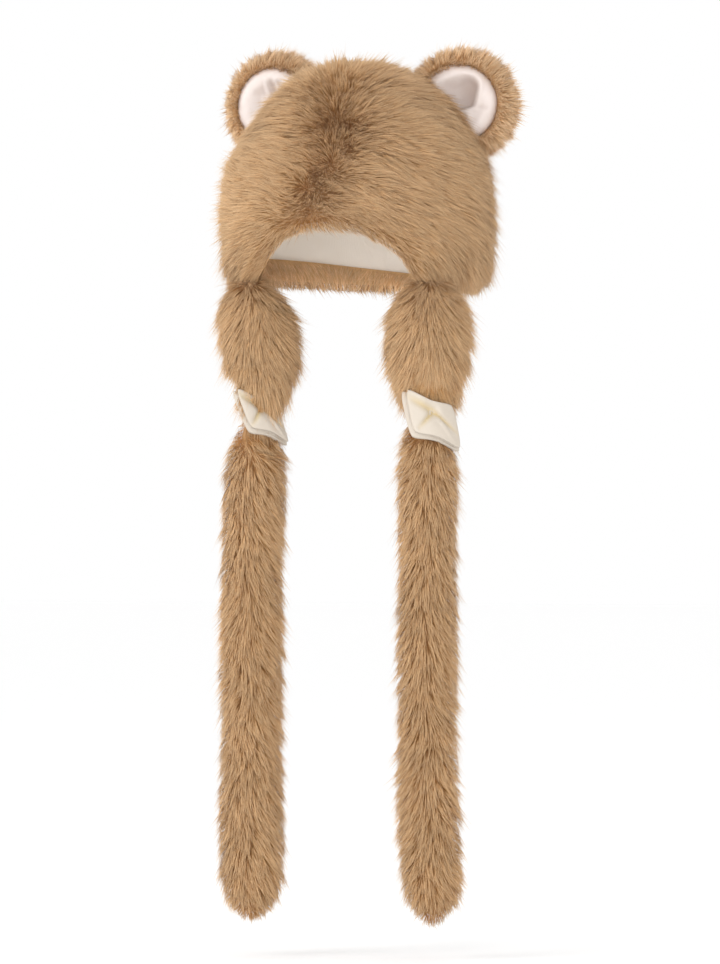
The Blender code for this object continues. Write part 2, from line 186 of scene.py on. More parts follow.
def makeStudio():
    world = bpy.data.worlds.new("studio")
    world.use_nodes = True
    background = world.node_tree.nodes["Background"].inputs
    background["Color"].default_value = (1, 1, 1, 1)
    background["Strength"].default_value = lighting["sky"]
    bpy.context.scene.world = world
    bpy.context.scene.view_settings.view_transform = "Standard"
    for name in ("key", "fill"):
        makeLight(name, lighting[name + "Power"], lighting[name + "Size"], lighting[name + "Place"])
    reach = lighting["floorReach"]
    grid = np.array([[(x, y, lighting["floorHeight"]) for y in (-reach, reach)]
                     for x in (-reach, reach)])
    floor = gridObject("studioFloor", grid, closed=False)
    material, _, shader = newMaterial("studioWhite")
    white = lighting["floorWhite"]
    setConstants(shader, {"Base Color": (white, white, white, 1), "Roughness": 0.9,
                          "Specular IOR Level": 0.1})
    floor.data.materials.append(material)


# Shader and node helpers

def addNode(tree, kind, inputs=None, **settings):
    node = tree.nodes.new(kind)
    for key, value in settings.items():
        setattr(node, key, value)
    for key, value in (inputs or {}).items():
        if isinstance(value, bpy.types.NodeSocket):
            tree.links.new(value, node.inputs[key])
        else:
            node.inputs[key].default_value = value
    return node


def maths(tree, operation, a, b=0.0):
    return addNode(tree, "ShaderNodeMath", {0: a, 1: b}, operation=operation).outputs[0]


def vectors(tree, operation, a, b=(0, 0, 0)):
    node = addNode(tree, "ShaderNodeVectorMath", {0: a, 1: b}, operation=operation)
    return node.outputs["Value" if operation in ("DOT_PRODUCT", "LENGTH") else "Vector"]


def scaled(tree, vector, factor):
    return addNode(tree, "ShaderNodeVectorMath", {0: vector, "Scale": factor},
                   operation="SCALE").outputs["Vector"]


def newMaterial(name):
    material = bpy.data.materials.new(name)
    material.use_nodes = True
    tree = material.node_tree
    return material, tree, tree.nodes["Principled BSDF"]


def setConstants(shader, values):
    for name, value in values.items():
        shader.inputs[name].default_value = value


def mixColour(tree, factor, a, b):
    return addNode(tree, "ShaderNodeMix", {0: factor, 6: a, 7: b}, data_type="RGBA").outputs[2]


def noise(tree, scale, detail):
    place = tree.nodes.new("ShaderNodeTexCoord").outputs["Object"]
    return addNode(tree, "ShaderNodeTexNoise",
                   {"Vector": place, "Scale": scale, "Detail": detail}).outputs["Fac"]


def colourRamp(tree, value, stops):
    # stops are (place, colour), the first and the last one at the ends of the list
    ramp = addNode(tree, "ShaderNodeValToRGB", {"Fac": value})
    made = ramp.color_ramp.elements
    made[0].position, made[1].position = stops[0][0], stops[-1][0]
    made[0].color, made[1].color = (*stops[0][1], 1), (*stops[-1][1], 1)
    for place, colour in stops[1:-1]:
        made.new(place).color = (*colour, 1)
    return ramp.outputs["Color"]


def bump(tree, shader, height, strength, distance):
    node = addNode(tree, "ShaderNodeBump", {"Height": height, "Strength": strength,
                                           "Distance": distance})
    tree.links.new(node.outputs["Normal"], shader.inputs["Normal"])


# The pile: one tree that grows tapered strands on any guide surface

strandShape = {
    "steps": (0.06, 0.56, 1.0),          # places along a strand
    "widths": (0.8, 1.0, 0.0),           # width there, as a share of the strand's
    "longest": 1.03,                     # a strand's length, from the pile's own shortest share
    "guards": 0.12, "guardLength": 0.42, "guardLoose": 0.7,     # a few longer, looser hairs
    "tuftLift": (0.72, 1.12), "tuftPull": (0.35, 1.15),
    "bendAlong": 0.22,                   # how far along the comb the bend lies
    "roll": 0.55,                        # how far the blades turn out of the surface
    "rootNormal": 0.9, "bladeNormal": 0.5,      # what the shading normal is mixed from
}


def makeBlade():
    steps, widths = strandShape["steps"], strandShape["widths"]
    points, along, across = [], [], []
    for t, width in zip(steps, widths):
        for sign in ((-0.5, 0.5) if width else (0.0,)):
            points.append((sign * width, 0, t))
            along.append(t)
            across.append(sign * width)
    faces = [(2 * i, 2 * i + 1, 2 * i + 3, 2 * i + 2) for i in range(len(steps) - 2)]
    last = 2 * (len(steps) - 2)
    faces.append((last, last + 1, last + 2))
    blade = meshObject("strandBlade", points, faces, soft=False)
    storeAttribute(blade.data, "along", "FLOAT", along)
    storeAttribute(blade.data, "across", "FLOAT", across)
    return blade


def makeStrandTree(blade):
    tree = bpy.data.node_groups.new("pileStrands", "GeometryNodeTree")
    sockets = tree.interface
    sockets.new_socket("Geometry", in_out="INPUT", socket_type="NodeSocketGeometry")
    for name, kind in (("Strands per m2", "Float"), ("Tufts per m2", "Float"), ("Width", "Float"),
                       ("Tuft Pull", "Float"), ("Stray", "Float"), ("Shortest", "Float"),
                       ("Root Bend", "Float"), ("Seed", "Int"), ("Material", "Material")):
        sockets.new_socket(name, in_out="INPUT", socket_type="NodeSocket" + kind)
    sockets.new_socket("Geometry", in_out="OUTPUT", socket_type="NodeSocketGeometry")
    given = tree.nodes.new("NodeGroupInput").outputs
    plus, normalised = partial(vectors, tree, "ADD"), partial(vectors, tree, "NORMALIZE")
    cross, scale = partial(vectors, tree, "CROSS_PRODUCT"), partial(scaled, tree)
    times, vector, shape = partial(maths, tree, "MULTIPLY"), "FLOAT_VECTOR", strandShape
    seedCount = [0]

    def named(name, kind="FLOAT"):
        return addNode(tree, "GeometryNodeInputNamedAttribute", {"Name": name},
                       data_type=kind).outputs["Attribute"]

    def store(geometry, name, value, kind="FLOAT"):
        return addNode(tree, "GeometryNodeStoreNamedAttribute",
                       {"Geometry": geometry, "Name": name, "Value": value},
                       data_type=kind, domain="POINT").outputs["Geometry"]

    def randomValue(low, high, kind="FLOAT"):
        seedCount[0] += 1
        first, output = (0, 0) if kind == vector else (2, 1)
        seed = maths(tree, "ADD", given["Seed"], float(seedCount[0] * 17))
        return addNode(tree, "FunctionNodeRandomValue", {first: low, first + 1: high, 8: seed},
                       data_type=kind).outputs[output]

    def mixVector(factor, a, b):
        return addNode(tree, "ShaderNodeMix", {0: factor, 4: a, 5: b},
                       data_type="VECTOR").outputs[1]

    position = tree.nodes.new("GeometryNodeInputPosition").outputs[0]
    fill = named("fill")

    def scatter(amount, seedStep):
        node = addNode(tree, "GeometryNodeDistributePointsOnFaces",
                       {"Mesh": given["Geometry"], "Density": times(amount, fill),
                        "Seed": maths(tree, "ADD", given["Seed"], float(seedStep))},
                       distribute_method="RANDOM")
        return node.outputs["Points"], node.outputs["Normal"]

    # tufts: where neighbouring tips gather
    tufts, tuftNormal = scatter(given["Tufts per m2"], 1)
    tuftTip = plus(position, plus(named("comb", vector), scale(tuftNormal, named("lift"))))
    tufts = store(tufts, "tuftTip", tuftTip, vector)
    tufts = store(tufts, "tuftShade", randomValue(-1.0, 1.0))
    tufts = store(tufts, "tuftLift", randomValue(*shape["tuftLift"]))

    # strands: root, bend and tip
    strands, normal = scatter(given["Strands per m2"], 0)
    strands = store(strands, "rootNormal", normal, vector)
    strands = store(strands, "rootPlace", position, vector)
    nearest = addNode(tree, "GeometryNodeSampleNearest",
                      {"Geometry": tufts, "Sample Position": position},
                      domain="POINT").outputs["Index"]

    def fromTuft(name, kind="FLOAT"):
        return addNode(tree, "GeometryNodeSampleIndex",
                       {"Geometry": tufts, "Value": named(name, kind), "Index": nearest},
                       data_type=kind, domain="POINT").outputs["Value"]

    strands = store(strands, "tuftShade", fromTuft("tuftShade"))
    strands = store(strands, "shade", randomValue(-1.0, 1.0))
    guard = maths(tree, "GREATER_THAN", randomValue(0.0, 1.0), 1 - shape["guards"])
    reach = maths(tree, "ADD", randomValue(given["Shortest"], shape["longest"]),
                  times(guard, shape["guardLength"]))
    rootNormal, comb = named("rootNormal", vector), named("comb", vector)
    rise = scale(rootNormal, times(named("lift"), fromTuft("tuftLift")))
    ownTip = plus(position, scale(plus(comb, rise), reach))
    strayVector = scale(randomValue((-1, -1, -1), (1, 1, 1), vector), given["Stray"])
    loose = maths(tree, "SUBTRACT", 1.0, times(guard, shape["guardLoose"]))
    pull = times(times(given["Tuft Pull"], loose), randomValue(*shape["tuftPull"]))
    tip = plus(mixVector(pull, ownTip, fromTuft("tuftTip", vector)), strayVector)
    strands = store(strands, "tipPlace", tip, vector)
    bend = plus(position, plus(scale(rise, given["Root Bend"]), scale(comb, shape["bendAlong"])))
    strands = store(strands, "bendPlace", bend, vector)
    strands = store(strands, "roll", randomValue((-1, -1, -1), (1, 1, 1), vector), vector)

    # one blade for each strand, then every blade is bent to its own curve
    bladeInfo = addNode(tree, "GeometryNodeObjectInfo", {"Object": blade})
    copies = addNode(tree, "GeometryNodeInstanceOnPoints",
                     {"Points": strands, "Instance": bladeInfo.outputs["Geometry"]}).outputs[0]
    pile = addNode(tree, "GeometryNodeRealizeInstances", {"Geometry": copies}).outputs[0]
    t = named("along")
    root, middle, end = (named(name, vector) for name in ("rootPlace", "bendPlace", "tipPlace"))
    first, second = mixVector(t, root, middle), mixVector(t, middle, end)
    onCurve = mixVector(t, first, second)
    tangent = normalised(vectors(tree, "SUBTRACT", second, first))
    facing = normalised(plus(rootNormal, scale(named("roll", vector), shape["roll"])))
    aside = normalised(cross(tangent, facing))
    offset = scale(aside, times(named("across"), given["Width"]))
    pile = addNode(tree, "GeometryNodeSetPosition",
                   {"Geometry": pile, "Position": plus(onCurve, offset)}).outputs[0]
    softNormal = normalised(plus(scale(rootNormal, shape["rootNormal"]),
                                 scale(cross(aside, tangent), shape["bladeNormal"])))
    pile = addNode(tree, "GeometryNodeSetMeshNormal", {"Mesh": pile, "Custom Normal": softNormal},
                   mode="FREE", domain="POINT").outputs["Mesh"]
    pile = addNode(tree, "GeometryNodeSetMaterial",
                   {"Geometry": pile, "Material": given["Material"]}).outputs[0]
    tree.links.new(pile, tree.nodes.new("NodeGroupOutput").inputs[0])
    return tree


def growPile(name, grid, closed, style, strands, material, seed, node):
    # strands on a grid of points as one finished piece of plain mesh
    guide = makeGuide(name + "Guide", grid, closed, style)
    modifier = guide.modifiers.new("pile", "NODES")
    modifier.node_group = strandTree
    sockets = {item.name: item.identifier for item in strandTree.interface.items_tree
               if item.in_out == "INPUT"}
    values = {"Strands per m2": float(strands["density"]), "Tufts per m2": float(strands["tufts"]),
              "Width": strands["width"], "Tuft Pull": strands["pull"], "Stray": strands["stray"],
              "Shortest": strands["shortest"], "Root Bend": strands["bend"], "Seed": seed,
              "Material": material}
    for key, value in values.items():
        modifier[sockets[key]] = value
    graph = bpy.context.evaluated_depsgraph_get()
    mesh = bpy.data.meshes.new_from_object(guide.evaluated_get(graph), depsgraph=graph)
    guide.modifiers.remove(modifier)
    bpy.data.objects.remove(guide, do_unlink=True)
    for attribute in list(mesh.attributes):
        if attribute.name in ("rootNormal", "rootPlace", "tipPlace", "bendPlace", "roll", "comb",
                              "lift", "fill", "across"):
            mesh.attributes.remove(attribute)
    mesh.name = name
    mapStrands(mesh)
    print(f"{name}: {len(mesh.loops) - 2 * len(mesh.polygons)} triangles")
    dress(linked(name, mesh), "fur", material, node)


def mapStrands(mesh):
    # each strand gets its own small cell of the OFBake map
    steps = strandShape["steps"]
    corner = []
    for low, high in zip(steps[:-2], steps[1:-1]):
        corner += [(0, low), (1, low), (1, high), (0, high)]
    corner += [(0, steps[-2]), (1, steps[-2]), (0.5, 1.0)]
    count = len(mesh.loops) // len(corner)
    side = math.ceil(math.sqrt(count))
    cell = np.arange(count)
    corner = np.array(corner)
    origin = np.stack([cell % side, cell // side], axis=-1)[:, None, :]
    layer = mesh.uv_layers.new(name="OFBake")
    layer.data.foreach_set("uv", ((origin + 0.15 + 0.7 * corner) / side).ravel())


def makeGuide(name, grid, closed, style):
    # guide surface with its comb, lift and fill at every point
    guide = gridObject(name, grid, closed=closed)
    mesh = guide.data
    points, normals = np.empty((2, len(mesh.vertices) * 3), dtype=np.float32)
    mesh.vertices.foreach_get("co", points)
    mesh.vertex_normals.foreach_get("vector", normals)
    points, normals = points.reshape(-1, 3).astype(float), normals.reshape(-1, 3).astype(float)
    comb, lift, fill = style(points, normals)
    comb, lift = clearOfBows(points, normals, comb, lift)
    storeAttribute(mesh, "comb", "FLOAT_VECTOR", comb)
    storeAttribute(mesh, "lift", "FLOAT", lift)
    storeAttribute(mesh, "fill", "FLOAT", fill * clearRoots(points))
    return guide


# Materials

pileLook = {
    # darker toward the roots: partly the fur's own darker roots, partly painted shade deep between
    # the strands
    "root": (0.410, 0.170, 0.042),
    "middle": (0.450, 0.243, 0.094),
    "tip": (0.630, 0.428, 0.245),
    "stops": (0.05, 0.42, 0.92),          # where along a strand those colours are
    "tuftShade": 0.07,        # how much lighter or darker one tuft is than the next
    "strandShade": 0.18,
    "cloud": 22.0, "cloudShade": 0.35,
    "roughness": 0.62, "gloss": 0.22, "sheen": 0.08,
}
# painted shade: darker than the strands, so the undercoat reads as shadowed fur between them
coatLook = {"root": (0.320, 0.160, 0.062), "middle": (0.460, 0.265, 0.125)}
coatGrain = {"fine": 900.0, "broad": 70.0, "shares": (0.7, 0.5), "stops": (0.35, 0.85),
             "relief": 0.8, "depth": 0.001, "roughness": 0.9, "gloss": 0.2}
# the ears are brushed out, so less of the dark roots shows; the turned-in edge is lighter still,
# painted light that makes up for the shade inside the hat
earPileLook = {"root": (0.430, 0.230, 0.095), "middle": (0.590, 0.365, 0.185),
               "tip": (0.750, 0.550, 0.355)}
facingLitPileLook = {"root": (0.560, 0.330, 0.155), "middle": (0.720, 0.460, 0.240),
                  "tip": (0.800, 0.580, 0.360)}


def makePileMaterial(name, changes):
    # the crown's, puffs' and straps' look, apart from the changes
    look = {**pileLook, **changes}
    material, tree, shader = newMaterial(name)
    along, tuft, strand = (addNode(tree, "ShaderNodeAttribute", attribute_name=name).outputs["Fac"]
                           for name in ("along", "tuftShade", "shade"))
    # root-to-tip colours; the dark roots are partly painted shade between the strands
    colours = (look["root"], look["middle"], look["tip"])
    colour = colourRamp(tree, along, tuple(zip(look["stops"], colours)))
    plus, times = partial(maths, tree, "ADD"), partial(maths, tree, "MULTIPLY")
    value = plus(times(tuft, look["tuftShade"]), times(strand, look["strandShade"]))
    cloud = maths(tree, "SUBTRACT", noise(tree, look["cloud"], 2.0), 0.5)
    value = plus(value, times(cloud, look["cloudShade"]))
    hue = addNode(tree, "ShaderNodeHueSaturation", {"Color": colour, "Value": plus(value, 1.0)})
    tree.links.new(hue.outputs["Color"], shader.inputs["Base Color"])
    setConstants(shader, {"Roughness": look["roughness"], "Specular IOR Level": look["gloss"],
                          "Sheen Weight": look["sheen"], "Sheen Roughness": 0.5})
    return material


def makeCoatMaterial(name, look):
    # the dense short undercoat below the strands, coloured darker as painted shade, so that where
    # it shows between the strands it reads as shadowed fur
    material, tree, shader = newMaterial(name)
    grain = coatGrain
    fine, broad = noise(tree, grain["fine"], 3.0), noise(tree, grain["broad"], 2.0)
    value = maths(tree, "ADD", *(maths(tree, "MULTIPLY", size, share)
                                 for size, share in zip((fine, broad), grain["shares"])))
    colour = colourRamp(tree, value, tuple(zip(grain["stops"], (look["root"], look["middle"]))))
    tree.links.new(colour, shader.inputs["Base Color"])
    bump(tree, shader, fine, grain["relief"], grain["depth"])
    setConstants(shader, {"Roughness": grain["roughness"], "Specular IOR Level": grain["gloss"]})
    return material


# "uneven" is how much the roughness differs from place to place
weave = {"distortion": 1.2, "detail": 2.0, "uneven": 0.16, "depth": 0.00012, "sheenRoughness": 0.35}


def makeClothMaterial(name, look):
    # woven or knitted cloth: fine crossing threads, faint uneven colour
    material, tree, shader = newMaterial(name)
    place = tree.nodes.new("ShaderNodeTexCoord").outputs["Object"]
    height = 0.0
    for axis in ("X", "Y", "Z"):
        bands = addNode(tree, "ShaderNodeTexWave",
                        {"Vector": place, "Scale": look["threads"], "Detail": 1.0,
                         "Distortion": weave["distortion"], "Detail Scale": weave["detail"]},
                        wave_type="BANDS", bands_direction=axis)
        height = maths(tree, "ADD", bands.outputs["Fac"], height)
    cloud = noise(tree, look["cloud"], 3.0)
    colour = mixColour(tree, cloud, (*look["dark"], 1), (*look["light"], 1))
    # painted shade: the darker fold colour is mixed in by the fold attribute where the dents, folds
    # and creases lie
    if "fold" in look:
        foldShade = addNode(tree, "ShaderNodeAttribute", attribute_name="fold").outputs["Fac"]
        colour = mixColour(tree, foldShade, colour, (*look["fold"], 1))
    tree.links.new(colour, shader.inputs["Base Color"])
    roughness = maths(tree, "ADD", maths(tree, "MULTIPLY", cloud, weave["uneven"]),
                      look["roughness"] - weave["uneven"] / 2)
    tree.links.new(roughness, shader.inputs["Roughness"])
    bump(tree, shader, height, look["relief"], weave["depth"])
    setConstants(shader, {"Specular IOR Level": look["gloss"], "Sheen Weight": look["sheen"],
                          "Sheen Roughness": weave["sheenRoughness"]})
    return material


liningLook = {"dark": (0.91, 0.84, 0.755), "light": (0.95, 0.90, 0.835), "roughness": 0.85,
              "threads": 420.0, "cloud": 30.0, "relief": 0.5, "gloss": 0.2, "sheen": 0.3}
# the fold colour is the painted shade in the satin's dents and folds
earSatinLook = {"dark": (0.70, 0.600, 0.550), "light": (0.79, 0.720, 0.690), "roughness": 0.38,
                "threads": 620.0, "cloud": 45.0, "relief": 0.25, "gloss": 0.5, "sheen": 0.35,
                "fold": (0.46, 0.37, 0.33)}
# its fold colour is the yellowish painted shade in the ribbon's creases
bowSatinLook = {"dark": (0.52, 0.455, 0.375), "light": (0.60, 0.530, 0.450), "roughness": 0.34,
                "threads": 620.0, "cloud": 60.0, "relief": 0.25, "gloss": 0.5, "sheen": 0.3,
                "fold": (0.58, 0.44, 0.21)}


# The crown's surface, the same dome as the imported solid's

dome = {
    "halfWidth": 0.0895, "halfDepth": 0.1005, "height": 0.111,
    "power": 2.2,             # 2 is a round dome, more is squarer
    "taper": 0.16, "ease": 0.3,
    "skirt": 1.5,             # heights of the dome that one step past its widest level goes down
    "whorl": (0.0, -0.20),
    "cornerDrop": 0.164, "backDrop": 0.1645, "backTilt": 0.004,
    "cornerAngle": 53.0, "cornerFlat": 10.27, "backEase": 90.0,
    "faceTurns": (56, 80),    # degrees from the front where the face opening's influence fades
    # the face opening's arch: degrees from the front, and the drop of the hem there
    "arch": ((-53, 0.1640), (-48, 0.1600), (-44, 0.1530), (-38.5, 0.1436), (-32, 0.1338),
             (-26.5, 0.1265), (-20, 0.1220), (-14, 0.1195), (0, 0.1180), (9, 0.1190),
             (16.7, 0.1222), (22, 0.1255), (27.3, 0.1298), (36, 0.1380), (41.2, 0.1469),
             (44.3, 0.1550), (48, 0.1615), (53, 0.1640)),
}

crown = {
    "skin": 0.0033,           # outer face of the backing, from the inside of the lining
    "inside": 0.0014,         # how far inside that face the undercoat starts
    "undercoat": 0.0085,      # the undercoat's height above the backing
    "hang": 0.0060,           # how far the strands hang below the edge of the undercoat
    "comb": 0.0180, "lift": 0.0155,
    "strands": {"density": 1610000, "tufts": 110000, "width": 0.00033, "pull": 0.48,
                "stray": 0.0019, "shortest": 0.5, "bend": 0.85},
    "backStrands": {"density": 660000, "tufts": 60000, "width": 0.00050, "pull": 0.5,
                    "stray": 0.0019, "shortest": 0.5, "bend": 0.85},
    # the parting at the front, from the top of the hat to above the face opening
    "parting": ((-0.0017, -0.0721, -0.0013), (0.0013, -0.0890, -0.0150),
                (0.0078, -0.1089, -0.0489), (-0.0009, -0.1166, -0.0720),
                (-0.0104, -0.1190, -0.0901), (-0.0190, -0.1187, -0.1094)),
    "innerHem": 0.003,        # how far the undercoat's inner edge lies above the outer one
    "rootSink": 0.0008,       # how far the strands' roots are sunk into the undercoat
    # the hem's undercoat and its pile are folded under: (depth, how far below the strands' edge)
    "fold": (0.0025, 0.0030), "foldRoots": ((0.0070, 0.0017), (0.0023, 0.0031)),
}

# how the crown's pile lies; heights are below the top and turns are degrees from the front
crownComb = {
    "jitter": 0.010, "jitterSize": 0.018, "sway": 0.28, "swaySize": 0.05,
    # how much it points down: everywhere, far from the parting and low on the hat
    "droop": (0.10, 0.65, 0.75), "far": (0.08, 0.24), "low": (0.110, 0.168),
    # over the face opening it is drawn apart to both sides
    "apart": 0.9, "apartHeights": (0.112, 0.135), "apartTurns": (36, 54), "apartMiddle": (-6, 20),
    # at the two front corners it hangs straight down over the puffs
    "cornerTurn": 62, "cornerDroop": (1.3, 20), "cornerHeights": (0.120, 0.160),
    # at the parting it stands up and points at whoever looks at it
    "standing": (0.16, 0.84), "standingLift": (1.18, 0.18), "standingFrom": 0.002,
    "standingTo": (0.030, 0.016), "standingHeights": (-0.075, -0.045),
    "uneven": (0.10, 0.022),
    # near the hem it lies closer, but stays long at the corners
    "edgeReach": 0.026, "edgeLift": 0.40, "edgeLength": 0.45, "edgeCorner": (0.90, 22),
    # round the ears it lies closer
    "earReach": 0.040, "earLift": 0.55, "earBehind": (-0.02, 0.03),
}


def domePoint(place, offset):
    share = np.hypot(place[..., 0], place[..., 1])
    angle = np.arctan2(place[..., 1], place[..., 0])
    swell = 2 / dome["power"]
    inside = np.clip(share, 0, 1) * math.pi / 2
    below = np.maximum(share - 1, 0)
    flat = np.where(share < 1, np.sin(inside) ** swell,
                    1 - dome["taper"] * below ** 2 / (below + dome["ease"]))
    rise = np.where(share < 1, (dome["height"] + offset) * np.maximum(np.cos(inside), 0) ** swell,
                    -dome["skirt"] * dome["height"] * below)
    return np.stack([(dome["halfWidth"] + offset) * flat * np.cos(angle),
                     (dome["halfDepth"] + offset) * flat * np.sin(angle),
                     rise - dome["height"] + 0 * share], axis=-1)


def fromFront(angle):
    # degrees round from the front, positive toward the wearer's left
    return (np.degrees(angle + math.pi / 2) + 180) % 360 - 180


def hemDrop(turn):
    past = smooth((np.abs(turn) - dome["cornerAngle"] - dome["cornerFlat"]) / dome["backEase"])
    low = dome["backDrop"] + dome["backTilt"] * np.sin(np.radians(turn))
    back = dome["cornerDrop"] + (low - dome["cornerDrop"]) * past
    return np.where(np.abs(turn) < dome["cornerAngle"], tableValue(dome["arch"], turn), back)


def aroundFace(angle):
    # 1 along the face opening, 0 round the back
    return 1 - smooth(np.abs(fromFront(angle)), *dome["faceTurns"])


def levelPlace(angle, level):
    # place on the dome's map at a height above the hem
    step = dome["skirt"] * dome["height"]
    share = 1 + (hemDrop(fromFront(angle)) - level - dome["height"]) / step
    return np.stack([share * np.cos(angle), share * np.sin(angle)], axis=-1)


def crownGrid(rows, columns, offset, raised, start=0.0, sector=None):
    # points from the whorl down to a level above the hem, anticlockwise from above
    low, high = sector or (0.0, 2 * math.pi)
    angle = np.linspace(low, high, columns, endpoint=sector is not None)
    hem = levelPlace(angle, raised(angle) if callable(raised) else raised)
    whorl = np.array(dome["whorl"])
    steps = np.linspace(start, 1.0, rows)[:, None, None]
    return domePoint(whorl + (hem - whorl) * steps, offset)


def nearestOn(points, line):
    # nearest place on a line of several straight stretches
    line = np.array(line)
    best, found = np.inf, points
    for a, b in zip(line[:-1], line[1:]):
        t = np.clip(dot(points - a, b - a) / np.sum((b - a) ** 2), 0, 1)
        place = a + t * (b - a)
        distance = np.linalg.norm(points - place, axis=-1, keepdims=True)
        found = np.where(distance < best, place, found)
        best = np.minimum(distance, best)
    return found, best


def crownStyle(points, normals):
    look = crownComb
    near, distance = nearestOn(points, crown["parting"])
    jitter = np.stack([ripple(points, look["jitterSize"], 31 + axis) for axis in range(3)], axis=-1)
    comb = unit(points - near + look["jitter"] * jitter)
    height = points[:, 2:3]
    turn = fromFront(np.arctan2(points[:, 1], points[:, 0]))
    beside = turn[:, None]
    everywhere, far, low = look["droop"]
    comb = comb + (everywhere + far * smooth(distance, *look["far"])
                   + low * smooth(-height, *look["low"])) * down
    apart = smooth(-height, *look["apartHeights"]) \
        * (1 - smooth(np.abs(beside), *look["apartTurns"]))
    start, reach = look["apartMiddle"]
    comb = comb + look["apart"] * apart * np.clip((beside - start) / reach, -1, 1) \
        * np.array([1.0, 0, 0])
    droop, width = look["cornerDroop"]
    corner = np.exp(-((np.abs(beside) - look["cornerTurn"]) / width) ** 2) \
        * smooth(-height, *look["cornerHeights"])
    comb = laid(comb + droop * corner * down, normals,
                look["sway"] * ripple(points, look["swaySize"], 3))
    low, more = look["standingTo"]
    broad = low + more * smooth(height, *look["standingHeights"])
    spread = smooth(distance, look["standingFrom"], broad)
    least, rest = look["standing"]
    length = crown["comb"] * (least + rest * spread)
    most, less = look["standingLift"]
    uneven, size = look["uneven"]
    lift = crown["lift"] * (most - less * spread[:, 0]) * (1 + uneven * ripple(points, size, 5))
    edge = 1 - smooth(points[:, 2] + hemDrop(turn), crown["hang"], look["edgeReach"])
    longer, width = look["edgeCorner"]
    corner = np.exp(-((np.abs(turn) - look["cornerTurn"]) / width) ** 2)
    lift = lift * (1 - look["edgeLift"] * edge)
    x, _, z = ear["place"]
    nearEar = np.exp(-(np.hypot(np.abs(points[:, 0]) - x, points[:, 2] - z)
                       / look["earReach"]) ** 2) * (1 - smooth(points[:, 1], *look["earBehind"]))
    lift = lift * (1 - look["earLift"] * nearEar)
    length = length * (1 - (look["edgeLength"] - longer * corner) * edge)[:, None]
    return comb * length, lift, np.ones(len(points))


# The fur turned in at the hem, and the lining inside it

facing = {
    "height": 0.0159, "slope": 0.0065,    # its height above the hem, more on the wearer's right
    "wall": 0.0030,
    "face": 0.0020, "roots": 0.0018,      # how far inside the crown its undercoat and roots lie
    "hem": 0.0035, "rootHem": 0.0030,     # its lower edge above the hem
    "atFace": 0.0045, "faceFlat": 0.8,    # its height round the face, and how much flatter it is
    "bulge": (0.15, 0.7),                 # where on half a wave it starts, and how much it spans
    "comb": 0.0085, "lift": 0.0048,
    "sway": 0.3, "swaySize": 0.035, "swayAside": 0.4, "uneven": (0.15, 0.02),
    "leastComb": (0.4, 0.6), "leastLift": (0.3, 0.7),     # share at the face, and what is added
    "strands": {"density": 620000, "tufts": 60000, "width": 0.00042, "pull": 0.45,
                "stray": 0.0010, "shortest": 0.6, "bend": 0.8},
}

lining = {
    "wall": 0.0015, "seamDepth": 0.0009, "seamWidth": 0.0022,
    "pucker": 0.00035,        # how much the cloth gathers along the facing
    "puckers": (0.014, 0.05, 0.6),        # their two sizes, and the second one's share
    "puckerDrop": (0.10, 0.15),           # how far down they start
    "middle": (0, 0, -0.09),              # where the relief points to
    "seams": (90.0, 26.0, 154.0),         # degrees round from +X
    "edge": 0.012, "faceEdge": 0.0040,    # its edge above the hem, and how much less at the face
    "deepest": 0.0011,
}


def facingTop(angle):
    # height of the turned-in fur above the hem; round the face the lining reaches the edge
    front = aroundFace(angle)
    back = facing["height"] - facing["slope"] * np.cos(angle)
    return back * (1 - front) + facing["atFace"] * front


def insideGrid(rows, columns, offset, high, low):
    # points just inside the crown between two heights above the hem, from the upper one down
    angle = anglesRound(columns)
    grid = []
    for t in np.linspace(0, 1, rows):
        above = high(angle) + (low(angle) - high(angle)) * t
        flat = facing["faceFlat"] * aroundFace(angle)
        grid.append(domePoint(levelPlace(angle, above), offset(t) * (1 - flat)))
    return np.array(grid)


def facingStyle(points, normals):
    comb = laid(down + 0 * points, normals,
                facing["sway"] * (ripple(points, facing["swaySize"], 13) - facing["swayAside"]))
    full = 1 - aroundFace(np.arctan2(points[:, 1], points[:, 0]))
    (least, rest), (low, high) = facing["leastComb"], facing["leastLift"]
    uneven, size = facing["uneven"]
    lift = facing["lift"] * (low + high * full) * (1 + uneven * ripple(points, size, 15))
    return comb * facing["comb"] * (least + rest * full)[:, None], lift, full


def makeFacing():
    columns, gap = 144, 0.0004

    def swell(base):
        # the band is thickest between its two edges
        start, span = facing["bulge"]
        return lambda t: -base - facing["wall"] * math.sin(math.pi * (start + span * t))

    def level(height):
        return lambda angle: 0 * angle + height

    inner = insideGrid(7, columns, swell(facing["face"]), facingTop, level(facing["hem"]))
    outer = insideGrid(4, columns, lambda t: -gap, level(facing["hem"]),
                       lambda angle: facingTop(angle) + gap)
    band = gridObject("facingUndercoat", np.concatenate([inner, outer, inner[:1]])[::-1])
    dress(band, "fur", facingLitCoatMaterial, "crown_fur")
    grid = insideGrid(8, columns, swell(facing["roots"]), facingTop, level(facing["rootHem"]))
    growPile("facingPile", grid[::-1], True, facingStyle, facing["strands"], facingLitPileMaterial,
             150, "crown_fur")


def liningWave(grid):
    # inward relief: seams sunk into the cloth, and small puckers above the facing
    angle = np.arctan2(grid[..., 1], grid[..., 0])
    radius = np.hypot(grid[..., 0], grid[..., 1])
    relief = 0 * angle
    for seam in lining["seams"]:
        away = np.abs((angle - math.radians(seam) + math.pi) % (2 * math.pi) - math.pi) * radius
        relief += lining["seamDepth"] * np.exp(-(away / lining["seamWidth"]) ** 2)
    low = smooth(-grid[..., 2], *lining["puckerDrop"])
    fine, broad, share = lining["puckers"]
    relief += lining["pucker"] * low * (ripple(grid, fine, 21) + share * ripple(grid, broad, 22))
    return relief


